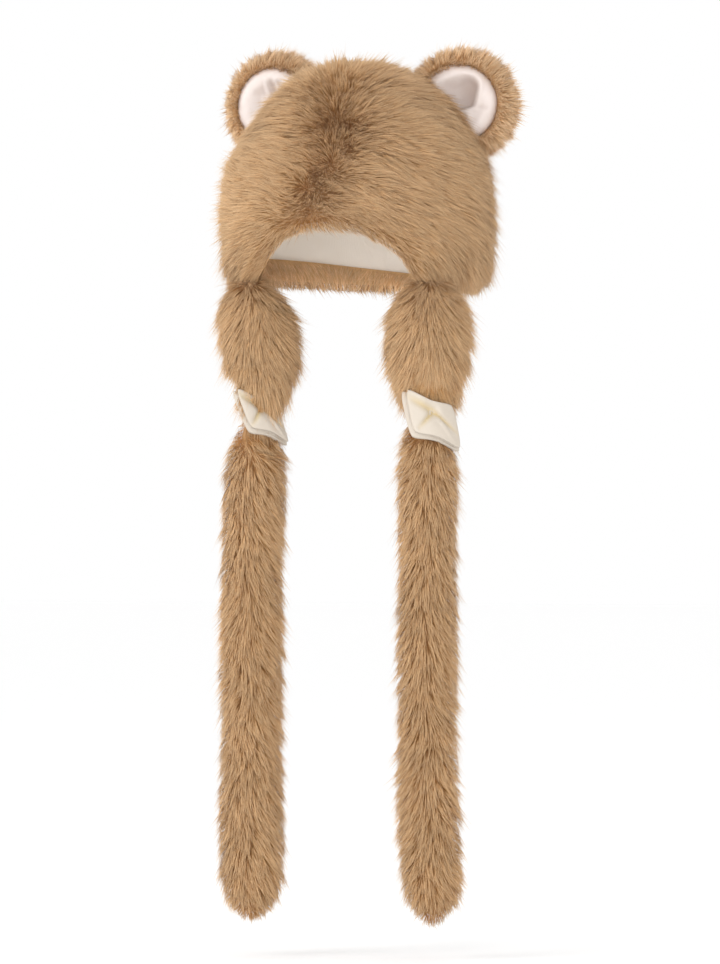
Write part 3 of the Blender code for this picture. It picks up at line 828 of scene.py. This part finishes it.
def makeLining():
    rows, columns = 36, 120

    def edge(angle):
        return lining["edge"] - lining["faceEdge"] * aroundFace(angle)

    inner = crownGrid(rows, columns, 0.0, edge, start=1 / rows)
    outward = unit(inner - np.array(lining["middle"]))
    inner = inner + outward * np.minimum(liningWave(inner), lining["deepest"])[..., None]
    outer = crownGrid(rows, columns, lining["wall"], edge, start=1 / rows)
    whorl = np.array(dome["whorl"])
    cloth = gridObject("liningCloth", np.concatenate([outer, inner[::-1]]),
                       startPole=domePoint(whorl, lining["wall"]), endPole=domePoint(whorl, 0.0))
    dress(cloth, "lining_cloth", liningMaterial, "lining")


def makeCrown():
    hang, columns = crown["hang"], 160
    offset, inset = crown["skin"] + crown["undercoat"], crown["skin"] - crown["inside"]
    depth, under = crown["fold"]
    outer = crownGrid(40, columns, offset, hang, start=1 / 40)
    fold = crownGrid(2, columns, depth, hang - under)[-1:]
    inner = crownGrid(16, columns, inset, hang + crown["innerHem"], start=1 / 16)[::-1]
    whorl = np.array(dome["whorl"])
    coat = gridObject("crownUndercoat", np.concatenate([outer, fold, inner]),
                      startPole=domePoint(whorl, offset), endPole=domePoint(whorl, inset))
    dress(coat, "fur", coatMaterial, "crown_fur")
    turns = {"crownPileLeft": (-90, 22), "crownPileBack": (22, 158), "crownPileRight": (158, 270)}
    for index, (name, turn) in enumerate(turns.items()):
        sector = tuple(math.radians(a) for a in turn)
        grid = crownGrid(70, 60, offset - crown["rootSink"], hang, start=0.004, sector=sector)
        edge = [crownGrid(2, 60, depth, hang - under, sector=sector)[-1:]
                for depth, under in crown["foldRoots"]]
        strands = crown["backStrands" if "Back" in name else "strands"]
        growPile(name, np.concatenate([grid, *edge]), False, crownStyle, strands, pileMaterial,
                 100 + index, "crown_fur")
    makeFacing()
    print("crown done")


# Bows: where they sit, so that the pile keeps clear of them

strapTop = -0.2706
strapAxis = (0.0767, -0.0640)

bow = {
    "pose": {"left": (30.0, 4.0, 17.0), "right": (40.0, 6.0, 18.0)},   # turn, nod, roll
    "halfLength": 0.0225, "endWidth": 0.036, "waistWidth": 0.029, "sweep": 10.0, "flat": 0.25,
    "seat": {"left": 0.0150, "right": 0.0105}, "drop": 0.006,
}

# the pile round the bows, in metres
around = {
    "slope": 0.9, "reach": 0.03, "behind": 0.05, "spare": 0.0015,
    "bareMargin": 0.004, "bareDepth": 0.012,      # no roots right behind a bow
    "bareUp": 0.006, "bareHalf": 0.010,           # nor here beside the wearer's right one
    "leastLift": 0.0005,
    # the puff's pile hangs over the wearer's right bow past this line: its direction in x and z,
    # and how far it is from the bow's middle
    "cover": (0.81, 0.58, 0.0070),
    # at that bow's free end the pile is short, and where it hangs over the bow it is long:
    # from where to where along the bow and upward, and how much shorter, lower or longer
    "free": (-0.010, -0.003), "freeUp": ((-0.004, 0.004), (0.034, 0.052)),
    "over": (-0.002, 0.006), "overUp": ((-0.004, 0.006), (0.028, 0.040)),
    "shorter": 0.70, "lower": 0.62, "longer": 0.55, "within": 0.045, "overBehind": 0.030,
}


def bowFrame(side):
    # turn, and the place, of a bow: its own +X runs along it and its front is -Y
    turn, nod, roll = (math.radians(v) for v in bow["pose"][side])
    turned = np.array(Euler((-nod, roll, turn), "YXZ").to_matrix())
    outward = np.array([math.sin(turn) * math.cos(nod), -math.cos(turn) * math.cos(nod),
                        -math.sin(nod)])
    centre = np.array([sides[side] * strapAxis[0], strapAxis[1], strapTop - bow["drop"]])
    return turned, centre + bow["seat"][side] * outward


def overBow(points, centre):
    # where the pile hangs over the wearer's right bow
    x, z, line = around["cover"]
    return (points - centre)[:, 0] * x + (points - centre)[:, 2] * z > line


def pressedBack(points, spare):
    # points moved behind the bows, with a slope round each one
    for side in sides:
        turned, centre = bowFrame(side)
        local = (points - centre) @ turned
        outside = np.maximum(np.abs(local[:, 0]) - bow["halfLength"],
                             np.abs(local[:, 2]) - bow["endWidth"] / 2)
        outside = np.maximum(outside, 0)
        near = (local[:, 1] > -around["behind"]) & (outside < around["reach"])
        if side == "right":
            near &= ~overBow(points, centre)
        limit = np.maximum(local[:, 1], spare - around["slope"] * outside)
        local[:, 1] = np.where(near, limit, local[:, 1])
        points = local @ turned.T + centre
    return points


def clearOfBows(points, normals, comb, lift):
    aside = points - bowFrame("right")[1]
    along, up = aside[:, 0], aside[:, 2]
    within = np.abs(along) < around["within"]
    free, over = ((smooth(up, *low) * (1 - smooth(up, *high)))
                  for low, high in (around["freeUp"], around["overUp"]))
    free = (1 - smooth(along, *around["free"])) * free * within
    over = over * within * (aside[:, 1] < around["overBehind"]) * smooth(along, *around["over"])
    comb = comb * (1 - around["shorter"] * free + around["longer"] * over)[:, None]
    lift = lift * (1 - around["lower"] * free)
    tip = points + comb + normals * lift[:, None]
    moved = pressedBack(tip, around["spare"]) - points
    newLift = dot(moved, normals)[:, 0]
    return moved - normals * newLift[:, None], np.maximum(newLift, around["leastLift"])


def clearRoots(points):
    # no roots right behind a bow, nor in front beside the wearer's right one
    fill = np.ones(len(points))
    margin = around["bareMargin"]
    for side in sides:
        turned, centre = bowFrame(side)
        local = np.abs((points - centre) @ turned)
        hidden = (local[:, 0] < bow["halfLength"] - margin) \
            & (local[:, 2] < bow["endWidth"] / 2 - margin) & (local[:, 1] < around["bareDepth"])
        if side == "right":
            hidden &= ~overBow(points, centre)
            x, y, z = (points - centre).T
            beside = np.abs(z - around["bareUp"]) < around["bareHalf"]
            hidden |= (x < -margin) & beside & (y < margin)
        fill = np.where(hidden, 0.0, fill)
    return fill


# Puffs and straps

puff = {
    "top": -0.1643, "length": 0.106, "radius": 0.0355, "lean": 0.0045,
    "outline": ((0.0, 0.60), (0.10, 0.83), (0.28, 0.97), (0.45, 1.0), (0.66, 0.94), (0.84, 0.74),
                (1.0, 0.56)),
    "core": 0.0125,           # the undercoat's depth below the outline
    "fill": 0.6,              # how tightly it is stuffed
    "comb": 0.0185, "lift": 0.0128, "fan": 0.75, "topFan": 1.0,
    # how far each one lies toward +X at shares of its length, and how much fuller it is
    "sway": {"left": ((0, 0), (0.27, 0.0033), (0.5, 0.0033), (0.75, 0.002), (1, 0)),
             "right": ((0, 0), (0.27, 0.0025), (0.5, 0.0052), (0.75, 0.0080), (1, 0.0078))},
    "swell": {"left": 0.0026, "right": 0.0},
    "strands": {"density": 1800000, "tufts": 80000, "width": 0.00036, "pull": 0.5,
                "stray": 0.0020, "shortest": 0.5, "bend": 0.85},
}

strap = {
    "top": strapTop, "length": 0.4165, "radius": 0.0265, "short": 0.004,
    "outline": ((0.0, 0.76), (0.05, 0.94), (0.12, 1.03), (0.30, 0.97), (0.45, 1.01), (0.62, 0.96),
                (0.80, 1.03), (0.94, 1.0), (0.98, 0.84), (1.0, 0.56)),
    "core": 0.0115,
    "fill": 0.4,
    "comb": 0.0165, "lift": 0.0118, "fan": 0.62, "topFan": 0.4,
    "sway": {"left": ((0, 0), (0.07, -0.0015), (0.3, -0.002), (0.75, -0.002), (0.9, 0.0012),
                      (1, 0.003)),
             "right": ((0, 0.0078), (0.065, 0.0075), (0.137, 0.0045), (0.33, 0.0021), (1, 0.0018))},
    "swell": {"left": 0.0006, "right": 0.0020},
    "strands": {"density": 895000, "tufts": 48000, "width": 0.00040, "pull": 0.58,
                "stray": 0.0020, "shortest": 0.5, "bend": 0.88},
}

# how the pile of puffs and straps lies
hanging = {
    "front": 10.0,            # degrees outward from straight ahead that the pile parts
    "out": 0.45, "outReach": 0.35,        # at the top it stands out
    "sway": 0.22, "swaySize": 0.05, "uneven": (0.14, 0.016),
    "end": (0.030, 0.006), "endShorter": 0.75, "endLower": 0.15,      # a strap's lower end
    "startLift": (0.55, 0.45), "startReach": 0.02,
    "pressed": 0.0045, "thinnest": 0.004, "swellFrom": 0.2, "swellTo": 0.9,
    "rootSink": 0.0006,       # how far the strands' roots are sunk into the undercoat
    "lid": (0.1, 0.5), "cap": (0.66, 0.33, 0.05),     # rings that close the two ends, as shares
}


def tubeGrid(side, shape, rows, columns, inset):
    # hanging tube whose surface lies below its outline by the inset
    place = np.linspace(0.0, 1.0, rows)[:, None]
    angle = anglesRound(columns)[None, :]
    reach = shape["radius"] * tableValue(shape["outline"], place) - inset
    reach = reach + shape["swell"][side] * smooth(place, 0, hanging["swellFrom"]) \
        * (1 - smooth(place, hanging["swellTo"], 1.0))
    reach = np.maximum(reach, hanging["thinnest"]) + 0 * angle
    x = sides[side] * (strapAxis[0] - shape.get("lean", 0.0) * np.sin(math.pi * place))
    x = x + tableValue(shape["sway"][side], place)
    z = shape["top"] - shape["length"] * place + shape.get("short", 0.0) * place
    grid = np.stack([x + reach * np.cos(angle), strapAxis[1] + reach * np.sin(angle),
                     z + 0 * angle], axis=-1)
    return pressedBack(grid.reshape(-1, 3).copy(), hanging["pressed"]).reshape(grid.shape)


def hangingStyle(side, shape):
    # the pile runs down and, like a feather's, away from the middle of the front
    look, front = hanging, math.radians(-90 + hanging["front"] * sides[side])

    def style(points, normals):
        share = (shape["top"] - points[:, 2]) / shape["length"]
        flat = np.stack([normals[:, 0], normals[:, 1], 0 * share], axis=-1)
        angle = np.arctan2(normals[:, 1], normals[:, 0]) - front
        beside = np.stack([-normals[:, 1], normals[:, 0], 0 * share], axis=-1)
        comb = down + (shape["fan"] * np.sin(angle))[:, None] * beside
        out = look["out"] * shape["topFan"] * (1 - smooth(share, 0.0, look["outReach"]))
        comb = laid(comb + out[:, None] * flat, normals,
                    look["sway"] * ripple(points, look["swaySize"], 7))
        end = smooth(points[:, 2], *(strap["top"] - strap["length"] + up for up in look["end"]))
        uneven, size = look["uneven"]
        lift = shape["lift"] * (1 + uneven * ripple(points, size, 9)) * (1 - look["endLower"] * end)
        least, rest = look["startLift"]
        lift = lift * (least + rest * smooth(share * shape["length"], 0.0, look["startReach"]))
        length = shape["comb"] * (1 - look["endShorter"] * end)
        return comb * length[:, None], lift, np.ones(len(points))
    return style


def narrowed(ring, shares):
    # copies of a ring, drawn in toward its middle
    middle = ring.mean(axis=1, keepdims=True)
    return middle + (ring - middle) * np.array(shares)[:, None, None]


def makeHanging(side, shape, name, rows, seed):
    label = name + side.capitalize()
    node = f"{name}_{side}"
    grid = tubeGrid(side, shape, rows, 40, shape["core"])
    top, bottom = grid[0].mean(axis=0), grid[-1].mean(axis=0)
    coat = gridObject(label + "Undercoat", grid, startPole=top, endPole=bottom)
    dress(coat, "fur", coatMaterial, node)
    grid = tubeGrid(side, shape, rows, 40, shape["core"] + hanging["rootSink"])
    lid, cap = narrowed(grid[:1], hanging["lid"]), narrowed(grid[-1:], hanging["cap"])
    growPile(label + "Pile", np.concatenate([lid, grid, cap]), True, hangingStyle(side, shape),
             shape["strands"], pileMaterial, seed, node)


# Ears

ear = {
    "place": (0.0815, 0.031, -0.0115), "turn": 8.0,
    "panel": 0.0322, "panelShift": 0.0025, "panelSink": 0.35 * 0.013,
    "bodyRadius": 0.0395, "bodyFront": 0.0085, "bodyBack": 0.0095,
    "comb": 0.0118, "lift": 0.0085,
    "blown": (0.30, 0.0, -0.12),          # both ears' pile lies a little to this side
    "backward": 0.35, "sway": (0.3, 0.03), "ruffled": (0.45, 0.006),
    "rimWidth": 0.006, "rimComb": (0.45, 0.55), "rimLift": (0.35, 0.65),
    "fill": 0.5,              # how tightly it is stuffed
    "leanFrom": (-0.006, 0.004),          # depths between which the panel's shift fades
    "dish": 0.0062,           # depth of the undercoat's middle behind the panel
    "strands": {"density": 1900000, "tufts": 60000, "width": 0.00036, "pull": 0.6,
                "stray": 0.0021, "shortest": 0.45, "bend": 0.8},
}


def earPlace(points, side):
    # from the ear's own middle, front toward -Y, to its place on the hat
    turn = sides[side] * math.radians(ear["turn"])
    c, s = math.cos(turn), math.sin(turn)
    x, y, z = points[..., 0], points[..., 1], points[..., 2]
    place = ear["place"]
    return np.stack([x * c - y * s + sides[side] * place[0], x * s + y * c + place[1],
                     z + place[2]], axis=-1)


def earSection():
    # (radius, depth) from the panel's edge over the rim to the middle of the back
    inner, outer = ear["panel"] + 0.0003, ear["bodyRadius"]
    front, back = ear["bodyFront"], ear["bodyBack"]
    middle = (inner + outer) / 2
    half = (outer - inner) / 2
    rows = [(inner, -ear["panelSink"] + 0.0004)]
    for a in np.radians(np.arange(-180, 1, 20)):
        rows.append((middle + half * math.cos(a), front * math.sin(a)))
    for a in np.radians(np.arange(10, 91, 10)):
        rows.append((outer * math.cos(a) ** 0.8 if a < 1.55 else 0.0008, back * math.sin(a)))
    return rows


def earStyle(side):
    def style(points, normals):
        middle = earPlace(np.array([[0.0, 0.0, 0.0]]), side)[0]
        axis = earPlace(np.array([[0.0, 1.0, 0.0]]), side)[0] - middle
        flat = points - middle
        depth = flat @ axis
        flat = flat - depth[:, None] * axis
        radius = np.linalg.norm(flat, axis=-1)
        comb = unit(flat) + ear["backward"] * smooth(depth, -0.004, 0.004)[:, None] * axis
        (sway, broad), (ruffled, fine) = ear["sway"], ear["ruffled"]
        comb = laid(comb, normals, sway * ripple(points, broad, 11)) + np.array(ear["blown"])
        comb = comb + ruffled * ripple(points, fine, 12)[:, None] * axis
        rim = smooth(radius, ear["panel"], ear["panel"] + ear["rimWidth"])
        length, lift = (ear[key] * (least + rest * rim) for key, (least, rest) in
                        (("comb", ear["rimComb"]), ("lift", ear["rimLift"])))
        return comb * length[:, None], lift, np.ones(len(points))
    return style


def makeEar(side, seed):
    angle = anglesRound(96)
    shift = -sides[side] * ear["panelShift"]
    rings = []
    for radius, depth in earSection():
        lean = shift * (1 - smooth(np.float64(depth), *ear["leanFrom"]))
        rings.append(np.stack([radius * np.cos(angle) + lean, 0 * angle + depth,
                               radius * np.sin(angle)], axis=-1))
    grid = earPlace(np.array(rings), side)
    label = "ear" + side.capitalize()
    front = earPlace(np.array([[shift, ear["dish"], 0.0]]), side)[0]
    coat = gridObject(label + "Undercoat", grid, startPole=front, endPole=grid[-1].mean(axis=0))
    dress(coat, "fur", earCoatMaterial, "ear_fur_" + side)
    growPile(label + "Pile", grid[1:], True, earStyle(side), ear["strands"], earPileMaterial, seed,
             "ear_fur_" + side)


# Satin panels of the ears

satin = {
    "radius": 0.0328, "wall": 0.0011,
    "edge": -0.0046,          # depth of the edge, tucked behind the pile
    "bulge": 0.0046,          # soft ring of filling a little inside the edge
    "hollow": 0.0035,         # middle, sunk behind the edge
    "hollowTo": 0.75, "bulgePower": 2.4,
    "uneven": (0.0002, 9.0),  # faint waves: height, and size in millimetres
    # how much painted shade the dents and the valleys get, and how much the ridges take away
    "dentShade": 5.0, "valleyShade": 0.45, "ridgeShade": 0.25,
    "turnIn": 0.004,          # how much wider than the panel its cloth was cut
}

# dents: corners of each in millimetres from the panel's middle, depth, and how soft each side is;
# folds: ends in millimetres, half width and height, negative for a valley
satinRelief = {
    "left": {
        "dents": [(((-14, 14), (10, 23), (18, 15), (13, -2), (-2, -7)), 5.5,
                   (12.0, 9.0, 5.0, 3.4, 12.0))],
        "folds": [((-1, -8), (14, -4), 2.2, 1.4), ((19.5, 17), (15.5, -1), 2.6, 1.5),
                  ((-3, -6), (12, -2.5), 1.3, -0.8), ((15, -3), (24, -4), 2.2, -0.7),
                  ((8, -9), (11, -25), 3.4, 1.0), ((1, -13), (3, -26), 2.4, -0.6),
                  ((-14, -10), (-20, -20), 3.4, 0.9)],
    },
    "right": {
        "dents": [(((-2, 20), (9, 21), (10, 6), (1, 0)), 2.6, (6.0, 6.0, 6.0, 6.0)),
                  (((-20, 12), (-8, 14), (-9, -8), (-19, -6)), 1.3, (9.0, 8.0, 9.0, 8.0))],
        "folds": [((-6, 23), (-3, 9), 2.0, 1.1), ((3, 22), (5, 9), 1.6, 1.2),
                  ((-1, 22), (0.5, 12), 1.1, -0.7), ((-9, 20), (-8, 10), 1.3, -0.6),
                  ((-16, 4), (-10, -16), 4.0, 0.9)],
    },
}


def segmentDistance(x, z, a, b):
    run = np.array(b, dtype=float) - np.array(a, dtype=float)
    t = np.clip(((x - a[0]) * run[0] + (z - a[1]) * run[1]) / (run @ run), 0, 1)
    return np.hypot(x - a[0] - t * run[0], z - a[1] - t * run[1])


def satinDepth(side, x, z):
    # depth of the panel's front behind the ear's middle plane, and how much painted shade it gets
    # in dents and valleys, less on ridges
    share = np.clip(np.hypot(x, z) / satin["radius"], 0, 1)
    place = share ** satin["bulgePower"]
    depth = satin["edge"] - satin["bulge"] * 4 * place * (1 - place) \
        + satin["hollow"] * (1 - smooth(share, 0.0, satin["hollowTo"]))
    x, z = x * 1000, z * 1000
    foldShade = 0 * x
    for corners, amount, softness in satinRelief[side]["dents"]:
        inside = 1 + 0 * x
        for a, b, soft in zip(corners, corners[1:] + corners[:1], softness):
            # corners go round clockwise as seen from the front
            run = np.array(b, dtype=float) - np.array(a, dtype=float)
            out = (run[0] * (z - a[1]) - run[1] * (x - a[0])) / np.hypot(*run)
            inside = inside * smooth(-out, -soft / 2, soft / 2)
        # painted shade in a dent, darker toward +X
        slope = 0.12 + 0.88 * smooth(0.85 * x - 0.15 * z, -10, 15)
        foldShade = foldShade + inside * slope * amount / satin["dentShade"]
        depth = depth + inside * amount / 1000
    # painted shade in the valleys of the folds, and less of it on the ridges
    for a, b, half, height in satinRelief[side]["folds"]:
        fold = height * np.exp(-(segmentDistance(x, z, a, b) / half) ** 2)
        depth = depth - fold / 1000
        foldShade = foldShade - satin["valleyShade" if height < 0 else "ridgeShade"] * fold
    uneven, size = satin["uneven"]
    depth = depth - uneven * ripple(np.stack([x, 0 * x, z], axis=-1), size, 41)
    return np.where(share < 1, depth, satin["edge"]), np.clip(foldShade, 0, 1)


def makeSatin(side):
    rows, columns = 27, 96
    shift = -sides[side] * ear["panelShift"]
    radius = satin["radius"] * np.linspace(1 / rows, 1, rows)[:, None]
    angle = anglesRound(columns)[None, :]
    x, z = radius * np.cos(angle), radius * np.sin(angle)
    depth, foldShade = satinDepth(side, x, z)
    front = earPlace(np.stack([x + shift, depth, z], axis=-1), side)
    back = earPlace(np.stack([x + shift, depth + satin["wall"], z], axis=-1), side)
    zero = np.zeros(1)
    middle, _ = satinDepth(side, zero, zero)
    poles = [earPlace(np.array([[shift, middle[0] + wall, 0.0]]), side)[0]
             for wall in (0.0, satin["wall"])]
    panel = gridObject("earSatin" + side.capitalize(), np.concatenate([front, back[::-1]]),
                       startPole=poles[0], endPole=poles[1])
    # the painted shade of dents and folds for both faces and the two poles, stored as the fold
    # attribute
    foldShade = np.concatenate([foldShade.ravel(), foldShade[::-1].ravel(), [0.0, 0.0]])
    storeAttribute(panel.data, "fold", "FLOAT", foldShade)
    dress(panel, "ear_satin", earSatinMaterial, "ear_satin_" + side)


# Ribbon loops of the bows, and the thread that holds them together

stitch = {"turns": (40, 130), "half": 0.0011, "thread": 0.0002, "raised": 0.0009, "arch": 0.0004}

ribbon = {
    # size, turn in degrees, shift along and across, depth of the back and of the front layer
    "loops": ((1.0, 0.0, -0.0006, -0.0008, 0.0006, 0.0038),
              (0.94, -2.5, 0.0010, 0.0012, 0.0046, 0.0086)),
    "cloth": 0.0006, "size": {"left": 1.0, "right": 0.86}, "shear": {"left": 0.55, "right": 0.80},
    "aside": {"left": -0.0030, "right": 0.0040}, "raise": {"left": -0.0010, "right": 0.0045},
    "pinch": (0.0, 0.0055), "pinchWidth": 0.0060, "pinchDepth": 0.0052, "corner": 0.09,
    "ends": 0.75, "rise": 0.55, "flare": 1.5,         # how square the loop is
    "front": (-0.2, 0.6),     # heights in the loop from where it counts as the front
    "fadeIn": 0.0025, "fadeOut": (0.008, 0.024), "faded": 0.75, "creaseShade": 0.45,
    # creases from the pinch: their far ends in millimetres, half width and height
    "creases": (((-16, -12), 1.2, -2.2), ((-20, 10), 3.2, -1.5), ((17, -15), 1.5, 1.8),
                ((20, -5), 1.8, -1.7), ((18, 10), 2.6, 0.8), ((0, -17), 3.2, 0.8)),
}


def ribbonPoint(side, loop, station, across):
    size, turn, shiftX, shiftZ, near, far = loop
    size = size * ribbon["size"][side]
    along = np.cos(station)
    fullness = np.abs(along) ** ribbon["ends"] * np.sign(along)
    rise = np.abs(np.sin(station)) ** ribbon["rise"] * np.sign(np.sin(station))
    wider = (bow["endWidth"] - bow["waistWidth"]) * np.abs(fullness) ** ribbon["flare"]
    width = bow["waistWidth"] + wider
    # the four corners are round
    width = width * (1 - ribbon["corner"] * np.abs(fullness) ** 8)
    x = size * bow["halfLength"] * fullness * (1 - ribbon["corner"] * np.abs(across) ** 4)
    z = size * width * across / 2
    lean = math.tan(math.radians(bow["sweep"])) \
        * np.maximum(0, np.abs(x) - bow["flat"] * bow["halfLength"])
    depth = near + (far - near) * (0.5 + 0.5 * rise)
    # the stitch draws every layer back, and creases run out from it
    px, pz = ribbon["pinch"]
    d = np.hypot(x - px, z - pz)
    front = smooth(rise, *ribbon["front"])
    foldShade = 0 * x
    if loop is ribbon["loops"][-1]:
        for (ex, ez), half, height in ribbon["creases"]:
            off = segmentDistance(x * 1000, z * 1000, (px * 1000, pz * 1000), (ex, ez))
            fade = smooth(d, 0.0, ribbon["fadeIn"]) \
                * (1 - ribbon["faded"] * smooth(d, *ribbon["fadeOut"]))
            crease = height * np.exp(-(off / half) ** 2) * fade * front
            depth = depth + crease / 1000
            # painted shade in the valleys of the creases
            foldShade = foldShade + np.maximum(0, -crease) * ribbon["creaseShade"]
    depth = depth - (far - ribbon["pinchDepth"]) * np.exp(-(d / ribbon["pinchWidth"]) ** 2) * front
    a = math.radians(turn)
    x, z = x * math.cos(a) - z * math.sin(a) + shiftX, x * math.sin(a) + z * math.cos(a) + shiftZ
    return np.stack([x - ribbon["shear"][side] * z + ribbon["aside"][side], lean - depth,
                     z + ribbon["raise"][side]], axis=-1), foldShade


def makeBow(side):
    turned, centre = bowFrame(side)
    stations, columns = 80, 27
    points, faces, folds = [], [], []
    for index, loop in enumerate(ribbon["loops"]):
        station = anglesRound(stations)[:, None]
        across = np.linspace(-1, 1, columns)[None, :]
        middle, foldShade = ribbonPoint(side, loop, station + 0 * across, across + 0 * station)
        run = np.roll(middle, -1, axis=0) - np.roll(middle, 1, axis=0)
        wide = np.gradient(middle, axis=1)
        normal = unit(np.cross(wide, run)) * ribbon["cloth"] / 2
        # outer face, then inner face, joined at both edges
        ring = np.concatenate([middle + normal, (middle - normal)[:, ::-1]], axis=1)
        points.append((ring @ turned.T + centre).reshape(-1, 3))
        count = len(points[-1])
        # the last row of faces closes the loop
        faces.append(gridFaces(stations + 1, ring.shape[1], True) % count + index * count)
        # painted shade of the creases, the same on both faces of the ribbon
        folds.append(np.concatenate([foldShade, foldShade[:, ::-1]], axis=1).ravel())
    item = meshObject("bow" + side.capitalize(), np.concatenate(points), np.concatenate(faces))
    storeAttribute(item.data, "fold", "FLOAT", np.concatenate(folds))
    pointOut(item.data)
    dress(item, "bow_satin", bowSatinMaterial, "bow_" + side)
    makeStitch(side, turned, centre)


def pointOut(mesh):
    shell = bmesh.new()
    shell.from_mesh(mesh)
    bmesh.ops.recalc_face_normals(shell, faces=shell.faces)
    shell.to_mesh(mesh)
    shell.free()


def makeStitch(side, turned, centre):
    # small crossed thread in the pinch
    px, pz = ribbon["pinch"]
    rings, corners = 7, 6
    points, faces = [], []
    for angle in stitch["turns"]:
        a = math.radians(angle)
        along = np.array([math.cos(a), 0, math.sin(a)])
        beside = np.array([-math.sin(a), 0, math.cos(a)])
        base = len(points)
        for i in range(rings):
            t = i / (rings - 1) * 2 - 1
            front = -ribbon["pinchDepth"] - stitch["raised"] - stitch["arch"] * (1 - t * t)
            core = np.array([px - ribbon["shear"][side] * pz + ribbon["aside"][side], front,
                             pz + ribbon["raise"][side]]) + along * stitch["half"] * t
            for k in range(corners):
                b = k * 2 * math.pi / corners
                ring = beside * math.cos(b) + np.array([0, math.sin(b), 0])
                points.append(core + stitch["thread"] * ring)
        faces += list(np.roll(gridFaces(rings, corners, True)[:, ::-1], 1, axis=1) + base)
        start, end = np.arange(base, base + corners), np.arange(len(points) - corners, len(points))
        faces += [start[::-1], end]
    points = np.array(points) @ turned.T + centre
    thread = meshObject("bowStitch" + side.capitalize(), points, faces)
    pointOut(thread.data)
    # the whole thread gets the bow's darker fold colour, the one painted as shade in its creases
    storeAttribute(thread.data, "fold", "FLOAT", np.ones(len(points)))
    dress(thread, "bow_satin", bowSatinMaterial)


print("shapes ready")
makeCamera()
makeStudio()
pileMaterial = makePileMaterial("tanPile", {})
coatMaterial = makeCoatMaterial("tanUndercoat", coatLook)
earPileMaterial = makePileMaterial("earPile", earPileLook)
earCoatMaterial = makeCoatMaterial("earUndercoat", earPileLook)
facingLitPileMaterial = makePileMaterial("facingPile", facingLitPileLook)
facingLitCoatMaterial = makeCoatMaterial("facingUndercoat", facingLitPileLook)
liningMaterial = makeClothMaterial("creamLining", liningLook)
earSatinMaterial = makeClothMaterial("paleSatin", earSatinLook)
bowSatinMaterial = makeClothMaterial("ivorySatin", bowSatinLook)
strandBlade = makeBlade()
strandTree = makeStrandTree(strandBlade)
print("materials and strand tree ready")

makeCrown()
for index, side in enumerate(sides):
    makeHanging(side, puff, "puff", 32, 200 + index)
    makeHanging(side, strap, "strap", 90, 300 + index)
    makeEar(side, 400 + index)
    makeSatin(side)
    makeBow(side)
makeLining()
bpy.data.objects.remove(strandBlade, do_unlink=True)
